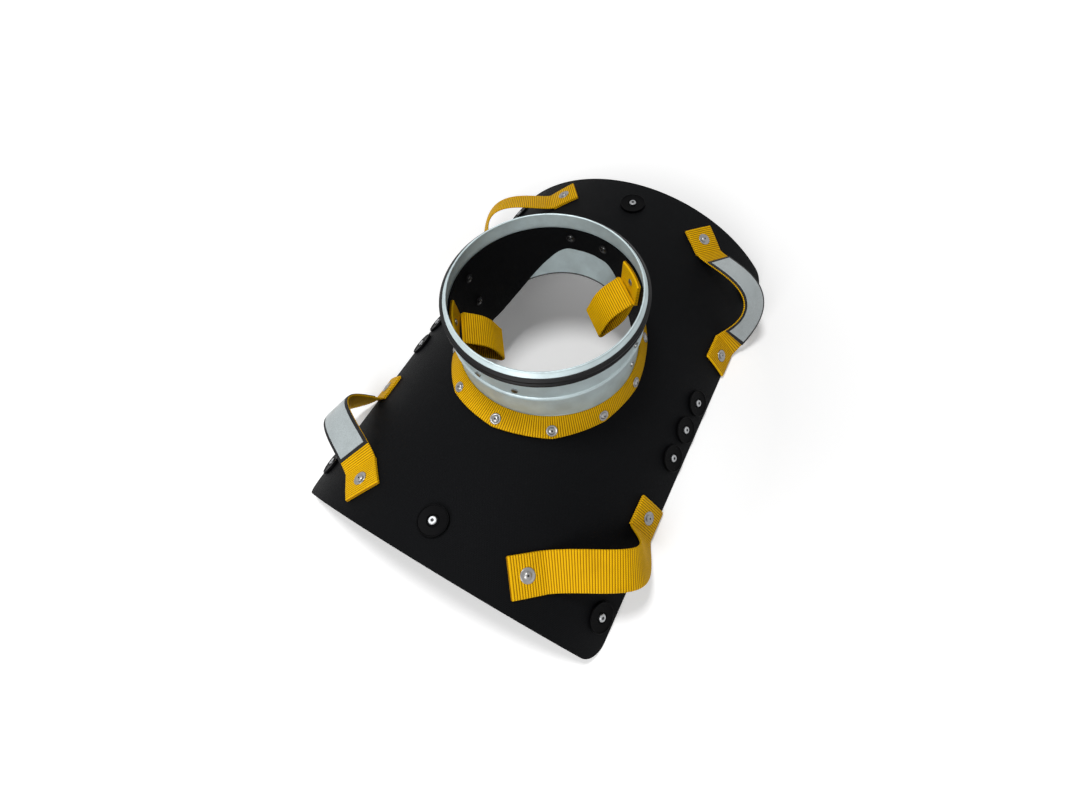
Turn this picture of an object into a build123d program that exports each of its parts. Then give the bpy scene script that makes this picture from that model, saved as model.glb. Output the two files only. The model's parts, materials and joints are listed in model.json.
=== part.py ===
from build123d import *
import math
import os

# Magnetic smoke hood: a flexible sheet bent into an arch, with a duct spigot standing on its crown.
# +Z is up along the spigot, +Y runs along the arch, and the hems rest on z = 0.
# "Flat" places (s, y) are measured on the sheet as if it lay flat: s across the arch, y along it.

# ---- sheet -------------------------------------------------------------------------------------
sheet_length = 675.0
sheet_width = 550.0
sheet_t = 3.0
arch_radius = 300.0
corner_radius = 30.0

# ---- duct spigot -------------------------------------------------------------------------------
spigot_od = 249.0
spigot_wall = 1.0
spigot_height = 111.0
bead_height = 54.0
bead_width = 9.0
bead_rise = 2.5
rim_roll_r = 1.2
rim_shoulder = 6.0
rim_draw_in = 5.0
flange_t = 1.0

# ---- rubber lip seal ---------------------------------------------------------------------------
seal_width = 14.0
seal_base_t = 1.4
seal_lip_rise = 3.0
seal_lip_t = 2.2
seal_low_lip_share = 0.3
seal_waist_share = 0.55
seal_high_lip_share = 0.85
seal_below_rim = 6.4

# ---- lining sleeve -----------------------------------------------------------------------------
lining_t = 1.6
lining_top = 85.0
lining_short = 50.0
lining_long = -30.0
lining_bulge = 18.0
lining_bulge_angle = 172.0
lining_bulge_half = 55.0
scallop_inner_share = 0.2
scallop_outer_share = 0.95

# ---- webbing -----------------------------------------------------------------------------------
webbing_t = 2.2
handle_width = 50.0
ring_width = 30.0
ring_side_slope = 68.0
ring_end_slope = 15.0
ring_rivet_count = 12
ring_rivet_margin = 11.0
ring_flange_short = 4.0
ring_end_share = 0.6
ring_slope_power = 3

# ---- handles: places of the right near one, the others mirror it ---------------------------------
handle_inner_s = 128.0
handle_inner_margin = 48.5
handle_outer_margin = 26.0
handle_outer_y = 144.0
handle_inner_turn = 38.0
handle_tab = 44.0
handle_rise = 46.0
handle_rise_power = 1.3
handle_inner_pull = 0.42
handle_outer_pull = 0.3
strap_lead = 6.0
strap_sections = 18
strap_step = 0.004
hinge_rise = 30.0
grip_gap = 0.3
patch_first = 0.3
patch_last = 0.68
patch_backing_t = 1.2
patch_t = 0.6
patch_border = 3.0

# ---- inner grip loops --------------------------------------------------------------------------
loop_width = 50.0
loop_root = 52.0
loop_angles = {"right": 47.0, "left": 216.0}
loop_droop = 50.0
loop_length = 68.0
loop_bulge = 11.0
loop_fold_r = 4.0
loop_base_height = 36.0
loop_base_lead = 6.0
loop_rivet_height = 66.0

# ---- magnets -----------------------------------------------------------------------------------
magnet_r = 21.5
magnet_h = 6.0
magnet_side_margin = 28.0
magnet_pitch = 49.0
magnet_end_margin = 47.5
magnet_corner_margin = 52.5
plate_r = 19.5
plate_t = 2.0
bush_r = 5.0
slug_r = 5.5
slug_t = 2.6
slug_circle_r = 12.5
slug_count = 4
slug_first_turn = 45.0
case_floor_t = 0.8
clamp_r = 20.0
clamp_t = 3.0
clamp_rim = 1.0
clamp_rim_w = 2.0
clamp_recess_r = 7.0
clamp_floor = 1.8
screw_r = 3.0
screw_head_r = 5.25
screw_head_h = 3.2
screw_socket_af = 4.0
screw_socket_depth = 1.8
screw_chamfer = 0.8
screw_tip_gap = 0.6

# ---- rivets and washers ------------------------------------------------------------------------
rivet_r = 2.4
rivet_head_r = 4.8
rivet_head_h = 1.9
rivet_tail_r = 4.0
rivet_tail_h = 1.8
rivet_dimple_r = 1.4
rivet_dimple_depth = 0.8
rivet_shoulder_r_share = 0.75
rivet_shoulder_h_share = 0.72
rivet_edge_h_share = 0.2
washer_t = 1.0
handle_washer_r = 9.5
ring_washer_r = 7.5
lining_washer_r = 6.5
wall_pair_pitch = 50.0
wall_pair_height = 70.0
side_pair_heights = (22.0, 66.0)

# ---- fits --------------------------------------------------------------------------------------
seat_gap = 0.1
soft_gap = 0.3
hole_gap = 0.15
round_steps = 48
same = 1e-6
far = 2 * sheet_length

# ---- derived -----------------------------------------------------------------------------------
arch_half = sheet_width / 2 / arch_radius
handle_inner_y = sheet_length / 2 - handle_inner_margin
handle_outer_s = sheet_width / 2 - handle_outer_margin
magnet_side_s = sheet_width / 2 - magnet_side_margin
magnet_end_y = sheet_length / 2 - magnet_end_margin
magnet_corner_y = sheet_length / 2 - magnet_corner_margin
top_radius = arch_radius + sheet_t / 2
under_radius = arch_radius - sheet_t / 2
arch_axis_z = -under_radius * math.cos(arch_half)
crown_z = arch_axis_z + top_radius
spigot_r = spigot_od / 2
bore_r = spigot_r - spigot_wall
lining_r = bore_r - soft_gap
sheet_hole_r = bore_r + hole_gap
rim_z = crown_z + spigot_height


def on_sheet(s, y, lift=0.0):
    """Frame on the sheet's top face: local Z leaves the sheet, local X runs across the arch."""
    angle = s / arch_radius
    radius = top_radius + lift
    place = (radius * math.sin(angle), y, arch_axis_z + radius * math.cos(angle))
    plane = Plane(
        origin=place,
        x_dir=(math.cos(angle), 0, -math.sin(angle)),
        z_dir=(math.sin(angle), 0, math.cos(angle)),
    )
    return plane.location


def under_dip(radius):
    """Drop of a flat disc's face below the sheet's hollow underside, so that its edge stays clear."""
    return radius**2 / (2 * under_radius) + seat_gap


def arch_cylinder(radius):
    """Solid cylinder of the arch's own axis."""
    return Pos(0, 0, arch_axis_z) * Rot(90, 0, 0) * Cylinder(radius, far)


def disc(radius, bottom, top):
    return Pos(0, 0, bottom) * Cylinder(radius, top - bottom, align=(Align.CENTER, Align.CENTER, Align.MIN))


def washer(radius, hole_r, bottom, thickness=washer_t):
    return disc(radius, bottom, bottom + thickness) - disc(hole_r, bottom, bottom + thickness)


def rivet(grip):
    """Blind rivet: its head sits on z = 0 and its tail is set against z = -grip."""
    dimple_z = rivet_head_h - rivet_dimple_depth
    edge_z = rivet_edge_h_share * rivet_head_h
    outline = [
        Line((0, dimple_z), (rivet_dimple_r, dimple_z)),
        Line((rivet_dimple_r, dimple_z), (rivet_dimple_r, rivet_head_h)),
        ThreePointArc(
            (rivet_dimple_r, rivet_head_h),
            (rivet_shoulder_r_share * rivet_head_r, rivet_shoulder_h_share * rivet_head_h),
            (rivet_head_r, edge_z),
        ),
        Polyline(
            (rivet_head_r, edge_z),
            (rivet_head_r, 0),
            (rivet_r, 0),
            (rivet_r, -grip),
            (rivet_tail_r, -grip),
            (rivet_tail_r, -grip - rivet_tail_h),
            (0, -grip - rivet_tail_h),
            (0, dimple_z),
        ),
    ]
    return revolve(profile(*outline), Axis.Z)


def rivet_bore(grip):
    return disc(rivet_r + hole_gap, -grip - rivet_tail_h, rivet_head_h)


def profile(*lines):
    """Face from lines drawn in (radius or x, z), standing in the XZ plane."""
    return Plane.XZ * make_face(Curve() + list(lines))


quadrant_signs = {"near_right": (1, -1), "near_left": (-1, -1), "far_right": (1, 1), "far_left": (-1, 1)}


def in_quadrant(shape, quadrant):
    """The right near shape, mirrored to one of the four quadrants."""
    x_side, y_side = quadrant_signs[quadrant]
    if x_side < 0:
        shape = mirror(shape, about=Plane.YZ)
    if y_side > 0:
        shape = mirror(shape, about=Plane.XZ)
    return shape


# ---- webbing ring round the spigot's foot --------------------------------------------------------
def ring_line(angle, inset, low, width):
    """The ring's slanted section at one angle, as (r, z) of its upper and lower end and its slope.

    It leaves the wall at radius spigot_r + inset and is lifted by low along its own normal from the
    line that reaches the sheet.
    """
    side_to_end = abs(math.sin(angle)) ** ring_slope_power
    slope = math.radians(ring_side_slope - (ring_side_slope - ring_end_slope) * side_to_end)
    foot_r = spigot_r + ring_width * math.cos(slope)
    foot_x = foot_r * math.cos(angle)
    foot_z = arch_axis_z + math.sqrt(top_radius**2 - foot_x**2) + soft_gap
    start_z = foot_z + ring_width * math.sin(slope)
    along = (math.cos(slope), -math.sin(slope))
    normal = (math.sin(slope), math.cos(slope))
    upper = (spigot_r + inset + low * normal[0], start_z - inset * math.tan(slope) + low * normal[1])
    reach = width - inset / math.cos(slope)
    lower = (upper[0] + reach * along[0], upper[1] + reach * along[1])
    return upper, lower, slope


def ring_band(inset, low, thickness, width):
    """A closed band round the spigot, with its slanted section turned round the Z axis."""
    corners = [[], [], [], []]
    for step in range(round_steps):
        angle = 2 * math.pi * step / round_steps
        for edge, (lift, end) in enumerate(((low, 0), (low, 1), (low + thickness, 1), (low + thickness, 0))):
            radius, z = ring_line(angle, inset, lift, width)[end]
            corners[edge].append((radius * math.cos(angle), radius * math.sin(angle), z))
    loops = [Edge.make_spline([Vector(*p) for p in points], periodic=True) for points in corners]
    faces = [Face.make_surface_from_curves(loops[i], loops[(i + 1) % 4]) for i in range(4)]
    return Solid(Shell(faces))


def ring_spot(angle):
    """Place of a rivet on the webbing's outer face, and the way down the webbing from it."""
    upper, lower, _ = ring_line(angle, seat_gap, flange_t + seat_gap + webbing_t, ring_width)
    ends = [Vector(r * math.cos(angle), r * math.sin(angle), z) for r, z in (upper, lower)]
    down = ends[1] - ends[0]
    return ends[0] + down * (1 - ring_rivet_margin / ring_width), down.normalized()


def ring_rivet_frame(angle):
    """Frame of a ring rivet: its local Z leaves the webbing's outer face."""
    step = math.pi / round_steps
    place, down = ring_spot(angle)
    around = (ring_spot(angle + step)[0] - ring_spot(angle - step)[0]).normalized()
    return Plane(origin=place, x_dir=around, z_dir=down.cross(around))


def depth_to_arch(plane, radius):
    """Distance from a frame's origin, against its Z, to the arch's cylinder of this radius."""
    x, z = plane.origin.X, plane.origin.Z - arch_axis_z
    dx, dz = -plane.z_dir.X, -plane.z_dir.Z
    a = dx * dx + dz * dz
    b = x * dx + z * dz
    c = x * x + z * z - radius * radius
    return (-b - math.sqrt(b * b - a * c)) / a


ring_angles = [2 * math.pi * i / ring_rivet_count for i in range(ring_rivet_count)]


def through_sheet(angle):
    """Rivets near the ends of the ring go through the sheet; those at its sides hold the flange."""
    return abs(math.sin(angle)) > ring_end_share


def ring_back(plane, angle):
    """Height, in a ring rivet's frame, of what its tail or back washer lies against."""
    if not through_sheet(angle):
        return -webbing_t - flange_t - 2 * seat_gap - rivet_tail_r**2 / spigot_od
    sheet_angle = math.asin(plane.origin.X / top_radius)
    sheet_normal = Vector(math.sin(sheet_angle), 0, math.cos(sheet_angle))
    tilt = math.acos(min(1.0, plane.z_dir.dot(sheet_normal)))
    return -depth_to_arch(plane, under_radius) - ring_washer_r * math.tan(tilt) - under_dip(ring_washer_r)


# ---- sheet: a developed rectangle with round corners, bent to the arch ---------------------------
def arch_shell(inner, outer, half_angle, length):
    start = 90 - math.degrees(half_angle)
    rays = [(side * math.sin(half_angle), math.cos(half_angle)) for side in (1, -1)]
    section = profile(
        CenterArc((0, arch_axis_z), outer, start, 180 - 2 * start),
        CenterArc((0, arch_axis_z), inner, start, 180 - 2 * start),
        *[Line((x * inner, arch_axis_z + z * inner), (x * outer, arch_axis_z + z * outer)) for x, z in rays],
    )
    return extrude(section, amount=length / 2, both=True)


sheet = arch_shell(under_radius, top_radius, arch_half, sheet_length)
corner_edges = [
    edge
    for edge in sheet.edges()
    if abs(edge.length - sheet_t) < same and abs(abs(edge.center().Y) - sheet_length / 2) < same
]
sheet = fillet(corner_edges, corner_radius)
sheet -= Pos(0, 0, crown_z) * Cylinder(sheet_hole_r, far)

# ---- spigot: wall with a stop bead, a drawn-in rolled rim, a foot coped to the arch and a flange --
wall_bottom = crown_z - 2 * ring_width
bead_z = crown_z + bead_height
wall_top = rim_z - rim_roll_r
shoulder_z = rim_z - rim_shoulder
roll_middle_r = bore_r - rim_draw_in + rim_roll_r
turn_in = bore_r + spigot_wall / 2 - roll_middle_r
wall_lines = [
    Line((bore_r, wall_bottom), (spigot_r, wall_bottom)),
    Line((bore_r - turn_in, wall_top), (spigot_r - turn_in, wall_top)),
]
for radius in (bore_r, spigot_r):
    wall_lines += [
        Line((radius, wall_bottom), (radius, bead_z - bead_width / 2)),
        ThreePointArc(
            (radius, bead_z - bead_width / 2),
            (radius + bead_rise, bead_z),
            (radius, bead_z + bead_width / 2),
        ),
        Line((radius, bead_z + bead_width / 2), (radius, shoulder_z)),
        Line((radius, shoulder_z), (radius - turn_in, wall_top)),
    ]
spigot = revolve(profile(*wall_lines), Axis.Z)
spigot -= arch_cylinder(top_radius + seat_gap)
spigot += Pos(0, 0, wall_top) * Torus(roll_middle_r, rim_roll_r)
spigot += ring_band(-spigot_wall / 2, 0, flange_t, ring_width - ring_flange_short)

# ---- rubber seal with two lips, in the seat under the rim ---------------------------------------
seal_top = rim_z - seal_below_rim
seal_bottom = seal_top - seal_width
seal_r = spigot_r + seat_gap
seal_base_r = seal_r + seal_base_t
seal_lip_r = seal_base_r + seal_lip_rise
low_lip_z = seal_bottom + seal_low_lip_share * seal_width
high_lip_z = seal_bottom + seal_high_lip_share * seal_width
seal_outline = Polyline(
    (seal_r, seal_bottom),
    (seal_base_r, seal_bottom),
    (seal_base_r, seal_bottom + seal_lip_t),
    (seal_lip_r, low_lip_z - seal_lip_t),
    (seal_lip_r, low_lip_z),
    (seal_base_r, low_lip_z + seal_lip_t),
    (seal_base_r, seal_bottom + seal_waist_share * seal_width),
    (seal_lip_r, high_lip_z - seal_lip_t),
    (seal_lip_r, high_lip_z),
    (seal_base_r, seal_top),
    (seal_r, seal_top),
    (seal_r, seal_bottom),
)
lip_seal = revolve(profile(seal_outline), Axis.Z)

# ---- lining sleeve: two long tongues at the sides, two scallops over the ends --------------------
def lining_surface(angle, z, thickness=0.0):
    """Radius of the lining's outer face, or of its inner face with its thickness."""
    off = abs((math.degrees(angle) - lining_bulge_angle + 180) % 360 - 180)
    bulge = 0.0
    if off < lining_bulge_half:
        bulge = lining_bulge * math.cos(math.radians(90 * off / lining_bulge_half)) ** 2
    share = (crown_z + lining_top - z) / (lining_top - lining_long)
    return lining_r - thickness - bulge * share


def lining_body(thickness, over):
    bottom = crown_z + lining_long - over
    top = crown_z + lining_top + over
    sections = []
    for z in (bottom, top):
        angles = [2 * math.pi * step / round_steps for step in range(round_steps)]
        radii = [lining_surface(angle, z, thickness) for angle in angles]
        points = [Vector(r * math.cos(a), r * math.sin(a), z) for r, a in zip(radii, angles)]
        sections.append(Face(Wire([Edge.make_spline(points, periodic=True)])))
    return Solid(loft(sections, ruled=True).wrapped)


scallop_inner = scallop_inner_share * lining_r
scallop_outer = scallop_outer_share * lining_r
scallop_high = crown_z + lining_short
scallop_low = crown_z + lining_long
scallop_lines = [
    Line((-scallop_inner, scallop_high), (scallop_inner, scallop_high)),
    Line((-scallop_outer, scallop_low - ring_width), (scallop_outer, scallop_low - ring_width)),
]
for side in (1, -1):
    scallop_lines += [
        Spline(
            (side * scallop_inner, scallop_high),
            (side * (scallop_inner + scallop_outer) / 2, (scallop_high + scallop_low) / 2),
            (side * scallop_outer, scallop_low),
            tangents=((side, 0), (side, 0)),
        ),
        Line((side * scallop_outer, scallop_low), (side * scallop_outer, scallop_low - ring_width)),
    ]
lining = lining_body(0, 0) - lining_body(lining_t, 1)
lining -= extrude(profile(*scallop_lines), amount=spigot_od, both=True)

ring_strap = ring_band(seat_gap, flange_t + seat_gap, webbing_t, ring_width)

# ---- magnets: a rubber-cased pot magnet under the sheet, screwed to a clamp disc on top -----------
magnet_spots = [(0, y) for y in (-magnet_end_y, magnet_end_y)]
magnet_spots += [(s, y) for s in (-magnet_side_s, magnet_side_s) for y in (-magnet_corner_y, magnet_corner_y)]
magnet_spots += [(s, i * magnet_pitch) for s in (-magnet_side_s, magnet_side_s) for i in (-1, 0, 1)]
magnet_frames = [on_sheet(s, y) for s, y in magnet_spots]

case_top = -sheet_t - under_dip(magnet_r)
case_bottom = case_top - magnet_h
plate_top = case_top - case_floor_t
bush_bottom = case_bottom + case_floor_t
screw_tip = bush_bottom + screw_tip_gap
slug_top = plate_top - plate_t

clamp_disc = disc(clamp_r, seat_gap, seat_gap + clamp_t)
clamp_disc += disc(clamp_r, clamp_t, clamp_t + clamp_rim)
clamp_disc -= disc(clamp_r - clamp_rim_w, clamp_t + seat_gap, clamp_t + clamp_rim)
clamp_disc -= disc(clamp_recess_r, seat_gap + clamp_floor, clamp_t + clamp_rim)
clamp_disc -= disc(screw_r + hole_gap, 0, clamp_t)
screw_seat = seat_gap + clamp_floor
screw = disc(screw_head_r, screw_seat, screw_seat + screw_head_h)
screw = chamfer(screw.edges().sort_by(Axis.Z)[-1], screw_chamfer)
screw -= extrude(
    Pos(0, 0, screw_seat + screw_head_h) * RegularPolygon(screw_socket_af / 2, 6, major_radius=False),
    -screw_socket_depth,
)
screw += disc(screw_r, screw_tip, screw_seat)

magnet_plate = disc(plate_r, slug_top, plate_top) + disc(bush_r, bush_bottom, case_top)
magnet_plate -= disc(screw_r + hole_gap, screw_tip - hole_gap, case_top)
slug_turns = [slug_first_turn + 360 * i / slug_count for i in range(slug_count)]
slug_places = [Rot(0, 0, turn) * Pos(slug_circle_r, 0, 0) for turn in slug_turns]
slugs = [place * disc(slug_r, slug_top - slug_t, slug_top) for place in slug_places]
magnet_case = disc(magnet_r, case_bottom, case_top) - disc(plate_r, slug_top, plate_top)
magnet_case -= disc(bush_r, bush_bottom, case_top)
for slug in slugs:
    magnet_case -= slug
screw_bore = disc(screw_r + hole_gap, case_top, clamp_t)

# ---- webbing handles ---------------------------------------------------------------------------
tab_top = seat_gap + 2 * webbing_t
tab_lift = tab_top - webbing_t / 2
inner_turn = math.radians(handle_inner_turn)
strap_start = (
    handle_inner_s + handle_tab / 2 * math.cos(inner_turn),
    -handle_inner_y + handle_tab / 2 * math.sin(inner_turn),
)
strap_end = (handle_outer_s, -handle_outer_y - handle_tab / 2)
strap_run = math.hypot(strap_end[0] - strap_start[0], strap_end[1] - strap_start[1])
strap_points = [
    strap_start,
    (
        strap_start[0] + handle_inner_pull * strap_run * math.cos(inner_turn),
        strap_start[1] + handle_inner_pull * strap_run * math.sin(inner_turn),
    ),
    (strap_end[0], strap_end[1] - handle_outer_pull * strap_run),
    strap_end,
]


def handle_point(t):
    """Frame on the strap's middle line, from the inner tab at t = 0 to the outer tab at t = 1."""
    weights = [(1 - t) ** 3, 3 * t * (1 - t) ** 2, 3 * t * t * (1 - t), t**3]
    s = sum(weight * point[0] for weight, point in zip(weights, strap_points))
    y = sum(weight * point[1] for weight, point in zip(weights, strap_points))
    lift = tab_lift + handle_rise * math.sin(math.pi * t) ** handle_rise_power
    return Plane(on_sheet(s, y, lift))


def handle_section(t, width, low, high):
    """Cross-section of the strap at t, between two heights over its middle. It runs on past its ends."""
    inside = min(max(t, 0), 1)
    frame = handle_point(inside)
    before = handle_point(max(inside - strap_step, 0)).origin
    after = handle_point(min(inside + strap_step, 1)).origin
    along = (after - before).normalized()
    across = along.cross(frame.z_dir).normalized()
    origin = frame.origin + along * ((t - inside) * strap_run)
    section = Plane(origin=origin, x_dir=across, z_dir=along)
    return section * Pos(0, -(low + high) / 2) * Rectangle(width, high - low)


def strap_loft(first, last, width, low, high):
    values = [first + (last - first) * i / strap_sections for i in range(strap_sections + 1)]
    return loft([handle_section(t, width, low, high) for t in values])


hinge_t = math.asin((hinge_rise / handle_rise) ** (1 / handle_rise_power)) / math.pi
hinge_near = handle_point(hinge_t).origin
hinge_far = handle_point(1 - hinge_t).origin
hinge_axis = (hinge_far - hinge_near).normalized()
hinge_span = (hinge_far - hinge_near).length
hinge_frame = Plane(origin=(hinge_near + hinge_far) / 2, z_dir=hinge_axis)


def hinge_slab(low, high):
    """Room between two planes square to the handle's hinge axis, measured from its middle."""
    return hinge_frame.location * Pos(0, 0, (low + high) / 2) * Box(far, far, high - low)


def handle_tab_plies(place):
    """Webbing folded double and laid on the sheet."""
    plies = arch_cylinder(top_radius + tab_top) - arch_cylinder(top_radius + seat_gap)
    return plies & (place * Box(handle_tab, handle_width, handle_tab))


def stacked(location, seat, back, washer_r):
    """Rivet, its top washer, its back washer and its bore, between two faces in one frame."""
    head = seat + washer_t
    grip = head - back + washer_t
    pieces = [
        Pos(0, 0, head) * rivet(grip),
        washer(washer_r, rivet_r + hole_gap, seat),
        washer(washer_r, rivet_r + hole_gap, back - washer_t),
        Pos(0, 0, head) * rivet_bore(grip),
    ]
    return [location * piece for piece in pieces]


inner_place = on_sheet(handle_inner_s, -handle_inner_y) * Rot(0, 0, handle_inner_turn)
outer_place = on_sheet(handle_outer_s, -handle_outer_y) * Rot(0, 0, 90)
strap = strap_loft(
    -strap_lead / strap_run, 1 + strap_lead / strap_run, handle_width, -webbing_t / 2, webbing_t / 2
)
slab_edge = hinge_span / 2
inner_end = handle_tab_plies(inner_place) + (strap & hinge_slab(-far, -slab_edge - grip_gap / 2))
outer_end = handle_tab_plies(outer_place) + (strap & hinge_slab(slab_edge + grip_gap / 2, far))
grip = strap & hinge_slab(grip_gap / 2 - slab_edge, slab_edge - grip_gap / 2)

backing_low = webbing_t / 2 + seat_gap
patch_low = backing_low + patch_backing_t + seat_gap
backing = strap_loft(patch_first, patch_last, handle_width, backing_low, backing_low + patch_backing_t)
border_t = patch_border / strap_run
patch_width = handle_width - 2 * patch_border
reflective_patch = strap_loft(
    patch_first + border_t, patch_last - border_t, patch_width, patch_low, patch_low + patch_t
)

handle_rivets = []
handle_washers = []
handle_back_washers = []
for x_side, y_side in quadrant_signs.values():
    for s, y in ((handle_inner_s, handle_inner_y), (handle_outer_s, handle_outer_y)):
        pieces = stacked(
            on_sheet(x_side * s, y_side * y),
            tab_top + seat_gap,
            -sheet_t - under_dip(handle_washer_r),
            handle_washer_r,
        )
        handle_rivets.append(pieces[0])
        handle_washers.append(pieces[1])
        handle_back_washers.append(pieces[2])
        sheet -= pieces[3]
        if (x_side, y_side) == quadrant_signs["near_right"]:
            inner_end -= pieces[3]
            outer_end -= pieces[3]

# ---- ring rivets ---------------------------------------------------------------------------------
ring_rivets = []
ring_washers = []
ring_back_washers = []
for angle in ring_angles:
    plane = ring_rivet_frame(angle)
    back = ring_back(plane, angle)
    pieces = stacked(plane.location, soft_gap, back, ring_washer_r)
    if through_sheet(angle):
        ring_back_washers.append(pieces[2])
        sheet -= pieces[3]
    else:
        head = soft_gap + washer_t
        pieces[0] = plane.location * Pos(0, 0, head) * rivet(head - back)
    ring_rivets.append(pieces[0])
    ring_washers.append(pieces[1])
    ring_strap -= pieces[3]
    spigot -= pieces[3]


# ---- rivets through the spigot's wall --------------------------------------------------------------
def wall_frame(angle, z, radius):
    """Frame inside the spigot: local Z points at its axis."""
    return Plane(
        origin=(radius * math.cos(angle), radius * math.sin(angle), z),
        x_dir=(-math.sin(angle), math.cos(angle), 0),
        z_dir=(-math.cos(angle), -math.sin(angle), 0),
    )


def wall_seat(angle, z, thickness, radius):
    """Height of a flat disc over the lining's inner side, so that its edge stays clear."""
    middle = lining_surface(angle, z, thickness)
    lifts = []
    for step in range(round_steps):
        turn = 2 * math.pi * step / round_steps
        swing = radius * math.cos(turn) / middle
        rim = lining_surface(angle + swing, z + radius * math.sin(turn), thickness)
        lifts.append(middle - rim * math.cos(swing))
    return max(lifts) + seat_gap


def wall_rivet(angle, z, thickness, under_head, washer_r):
    """Rivet and bore through the spigot's wall; its head is under_head over its seat."""
    middle = lining_surface(angle, z, thickness)
    seat = wall_seat(angle, z, thickness, washer_r)
    frame = wall_frame(angle, z, middle).location
    grip = seat + under_head + spigot_r - middle + seat_gap
    head = Pos(0, 0, seat + under_head)
    return frame * head * rivet(grip), frame * head * rivet_bore(grip), frame, seat


lining_rivets = []
lining_washers = []
pair_turn = math.asin(wall_pair_pitch / 2 / lining_r)
lining_rivet_spots = [
    (math.radians(middle) + side * pair_turn, wall_pair_height) for middle in (90, 270) for side in (1, -1)
]
lining_rivet_spots += [(math.radians(middle), height) for middle in (0, 180) for height in side_pair_heights]
for angle, height in lining_rivet_spots:
    piece, bore, frame, seat = wall_rivet(angle, crown_z + height, lining_t, washer_t, lining_washer_r)
    lining_rivets.append(piece)
    lining_washers.append(frame * washer(lining_washer_r, rivet_r + hole_gap, seat))
    lining -= bore
    spigot -= bore

# ---- grip loops inside the spigot ------------------------------------------------------------------
base_low = lining_t + seat_gap
base_high = base_low + 2 * webbing_t
loop_root_z = crown_z + loop_root
loop_low_z = loop_root_z - loop_base_lead


def loop_base(angle):
    """Doubled webbing on the lining, from just below the loop's root to above its rivet."""
    ends = [angle + side * loop_width / 2 / lining_r for side in (-1, 1)]
    corners = [(0, 0)] + [(far * math.cos(turn), far * math.sin(turn)) for turn in ends]
    sector = make_face(Polyline(*corners, corners[0]))
    wedge = extrude(Pos(0, 0, loop_low_z) * sector, loop_base_height, dir=(0, 0, 1))
    return (lining_body(base_low, 0) - lining_body(base_high, 1)) & wedge


def loop_pivot(angle):
    """Distance of the loop's straight root from the spigot's axis, clear of the curved base."""
    half = loop_width / 2 / lining_r
    reach = min(lining_surface(angle + turn, loop_root_z, base_high) * math.cos(turn) for turn in (-half, half))
    return reach - soft_gap - webbing_t


def loop_frame(angle):
    """Location at the middle of a loop's root, with X along the drooping loop and Z along the root."""
    droop = math.radians(loop_droop)
    inward = Vector(-math.cos(angle), -math.sin(angle), 0)
    ahead = inward * math.cos(droop) - Vector(0, 0, math.sin(droop))
    root = Vector(0, 0, loop_root_z) - inward * loop_pivot(angle)
    return Plane(origin=root, x_dir=ahead, z_dir=Vector(-math.sin(angle), math.cos(angle), 0)).location


def drop_outline(grown):
    """Half-open drop with its root on the Z axis and its fold along +X, grown by a distance."""
    root = webbing_t / 2 + hole_gap + grown
    fold_x = loop_length - loop_fold_r
    fold_y = loop_fold_r + grown
    lines = [
        Spline((0, side * root), (loop_length / 2, side * (loop_bulge + grown)), (fold_x, side * fold_y))
        for side in (1, -1)
    ]
    fold = ThreePointArc((fold_x, fold_y), (loop_length + grown, 0), (fold_x, -fold_y))
    return make_face(Curve() + [*lines, fold, Line((0, root), (0, -root))])


def hairpin():
    """Webbing turned back on itself, with its two ends sewn together at the root."""
    band = drop_outline(webbing_t / 2) - drop_outline(-webbing_t / 2)
    return extrude(band, loop_width, dir=(0, 0, 1)) + disc(webbing_t, 0, loop_width)


loop_bases = {}
inner_loops = {}
loop_rivets = []
for name, degrees in loop_angles.items():
    angle = math.radians(degrees)
    base = loop_base(angle)
    piece, bore, frame, seat = wall_rivet(angle, crown_z + loop_rivet_height, base_high, 0, rivet_head_r)
    loop_rivets.append(piece)
    lining -= bore
    spigot -= bore
    loop_bases[name] = base - bore
    inner_loops[name] = loop_frame(angle) * Pos(0, 0, -loop_width / 2) * hairpin()

# ---- holes for the magnets' screws ----------------------------------------------------------------
for frame in magnet_frames:
    sheet -= frame * screw_bore

# ---- nodes ---------------------------------------------------------------------------------------
nodes = {
    "sheet": [sheet],
    "spigot": [spigot],
    "lip_seal": [lip_seal],
    "lining_sleeve": [lining],
    "ring_strap": [ring_strap],
    "ring_rivets": ring_rivets,
    "ring_rivet_washers": ring_washers,
    "ring_back_washers": ring_back_washers,
    "lining_rivets": lining_rivets,
    "lining_rivet_washers": lining_washers,
    "handle_rivets": handle_rivets,
    "handle_rivet_washers": handle_washers,
    "handle_back_washers": handle_back_washers,
    "loop_rivets": loop_rivets,
    "clamp_discs": [frame * clamp_disc for frame in magnet_frames],
    "magnet_screws": [frame * screw for frame in magnet_frames],
    "magnet_cases": [frame * magnet_case for frame in magnet_frames],
    "magnet_plates": [frame * magnet_plate for frame in magnet_frames],
    "magnet_slugs": [frame * slug for frame in magnet_frames for slug in slugs],
}
for quadrant in quadrant_signs:
    nodes[f"handle_ends_{quadrant}"] = [in_quadrant(inner_end, quadrant), in_quadrant(outer_end, quadrant)]
    nodes[f"handle_grip_{quadrant}"] = [in_quadrant(grip, quadrant)]
for quadrant in ("near_left", "far_right"):
    nodes[f"patch_backing_{quadrant}"] = [in_quadrant(backing, quadrant)]
    nodes[f"reflective_patch_{quadrant}"] = [in_quadrant(reflective_patch, quadrant)]
for name in loop_angles:
    nodes[f"loop_base_{name}"] = [loop_bases[name]]
    nodes[f"inner_loop_{name}"] = [inner_loops[name]]

os.makedirs("parts", exist_ok=True)
for name, shapes in nodes.items():
    solids = [solid for shape in shapes for solid in shape.solids()]
    export_step(Compound(solids), f"parts/{name}.step")
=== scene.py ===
import json
import math

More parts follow.
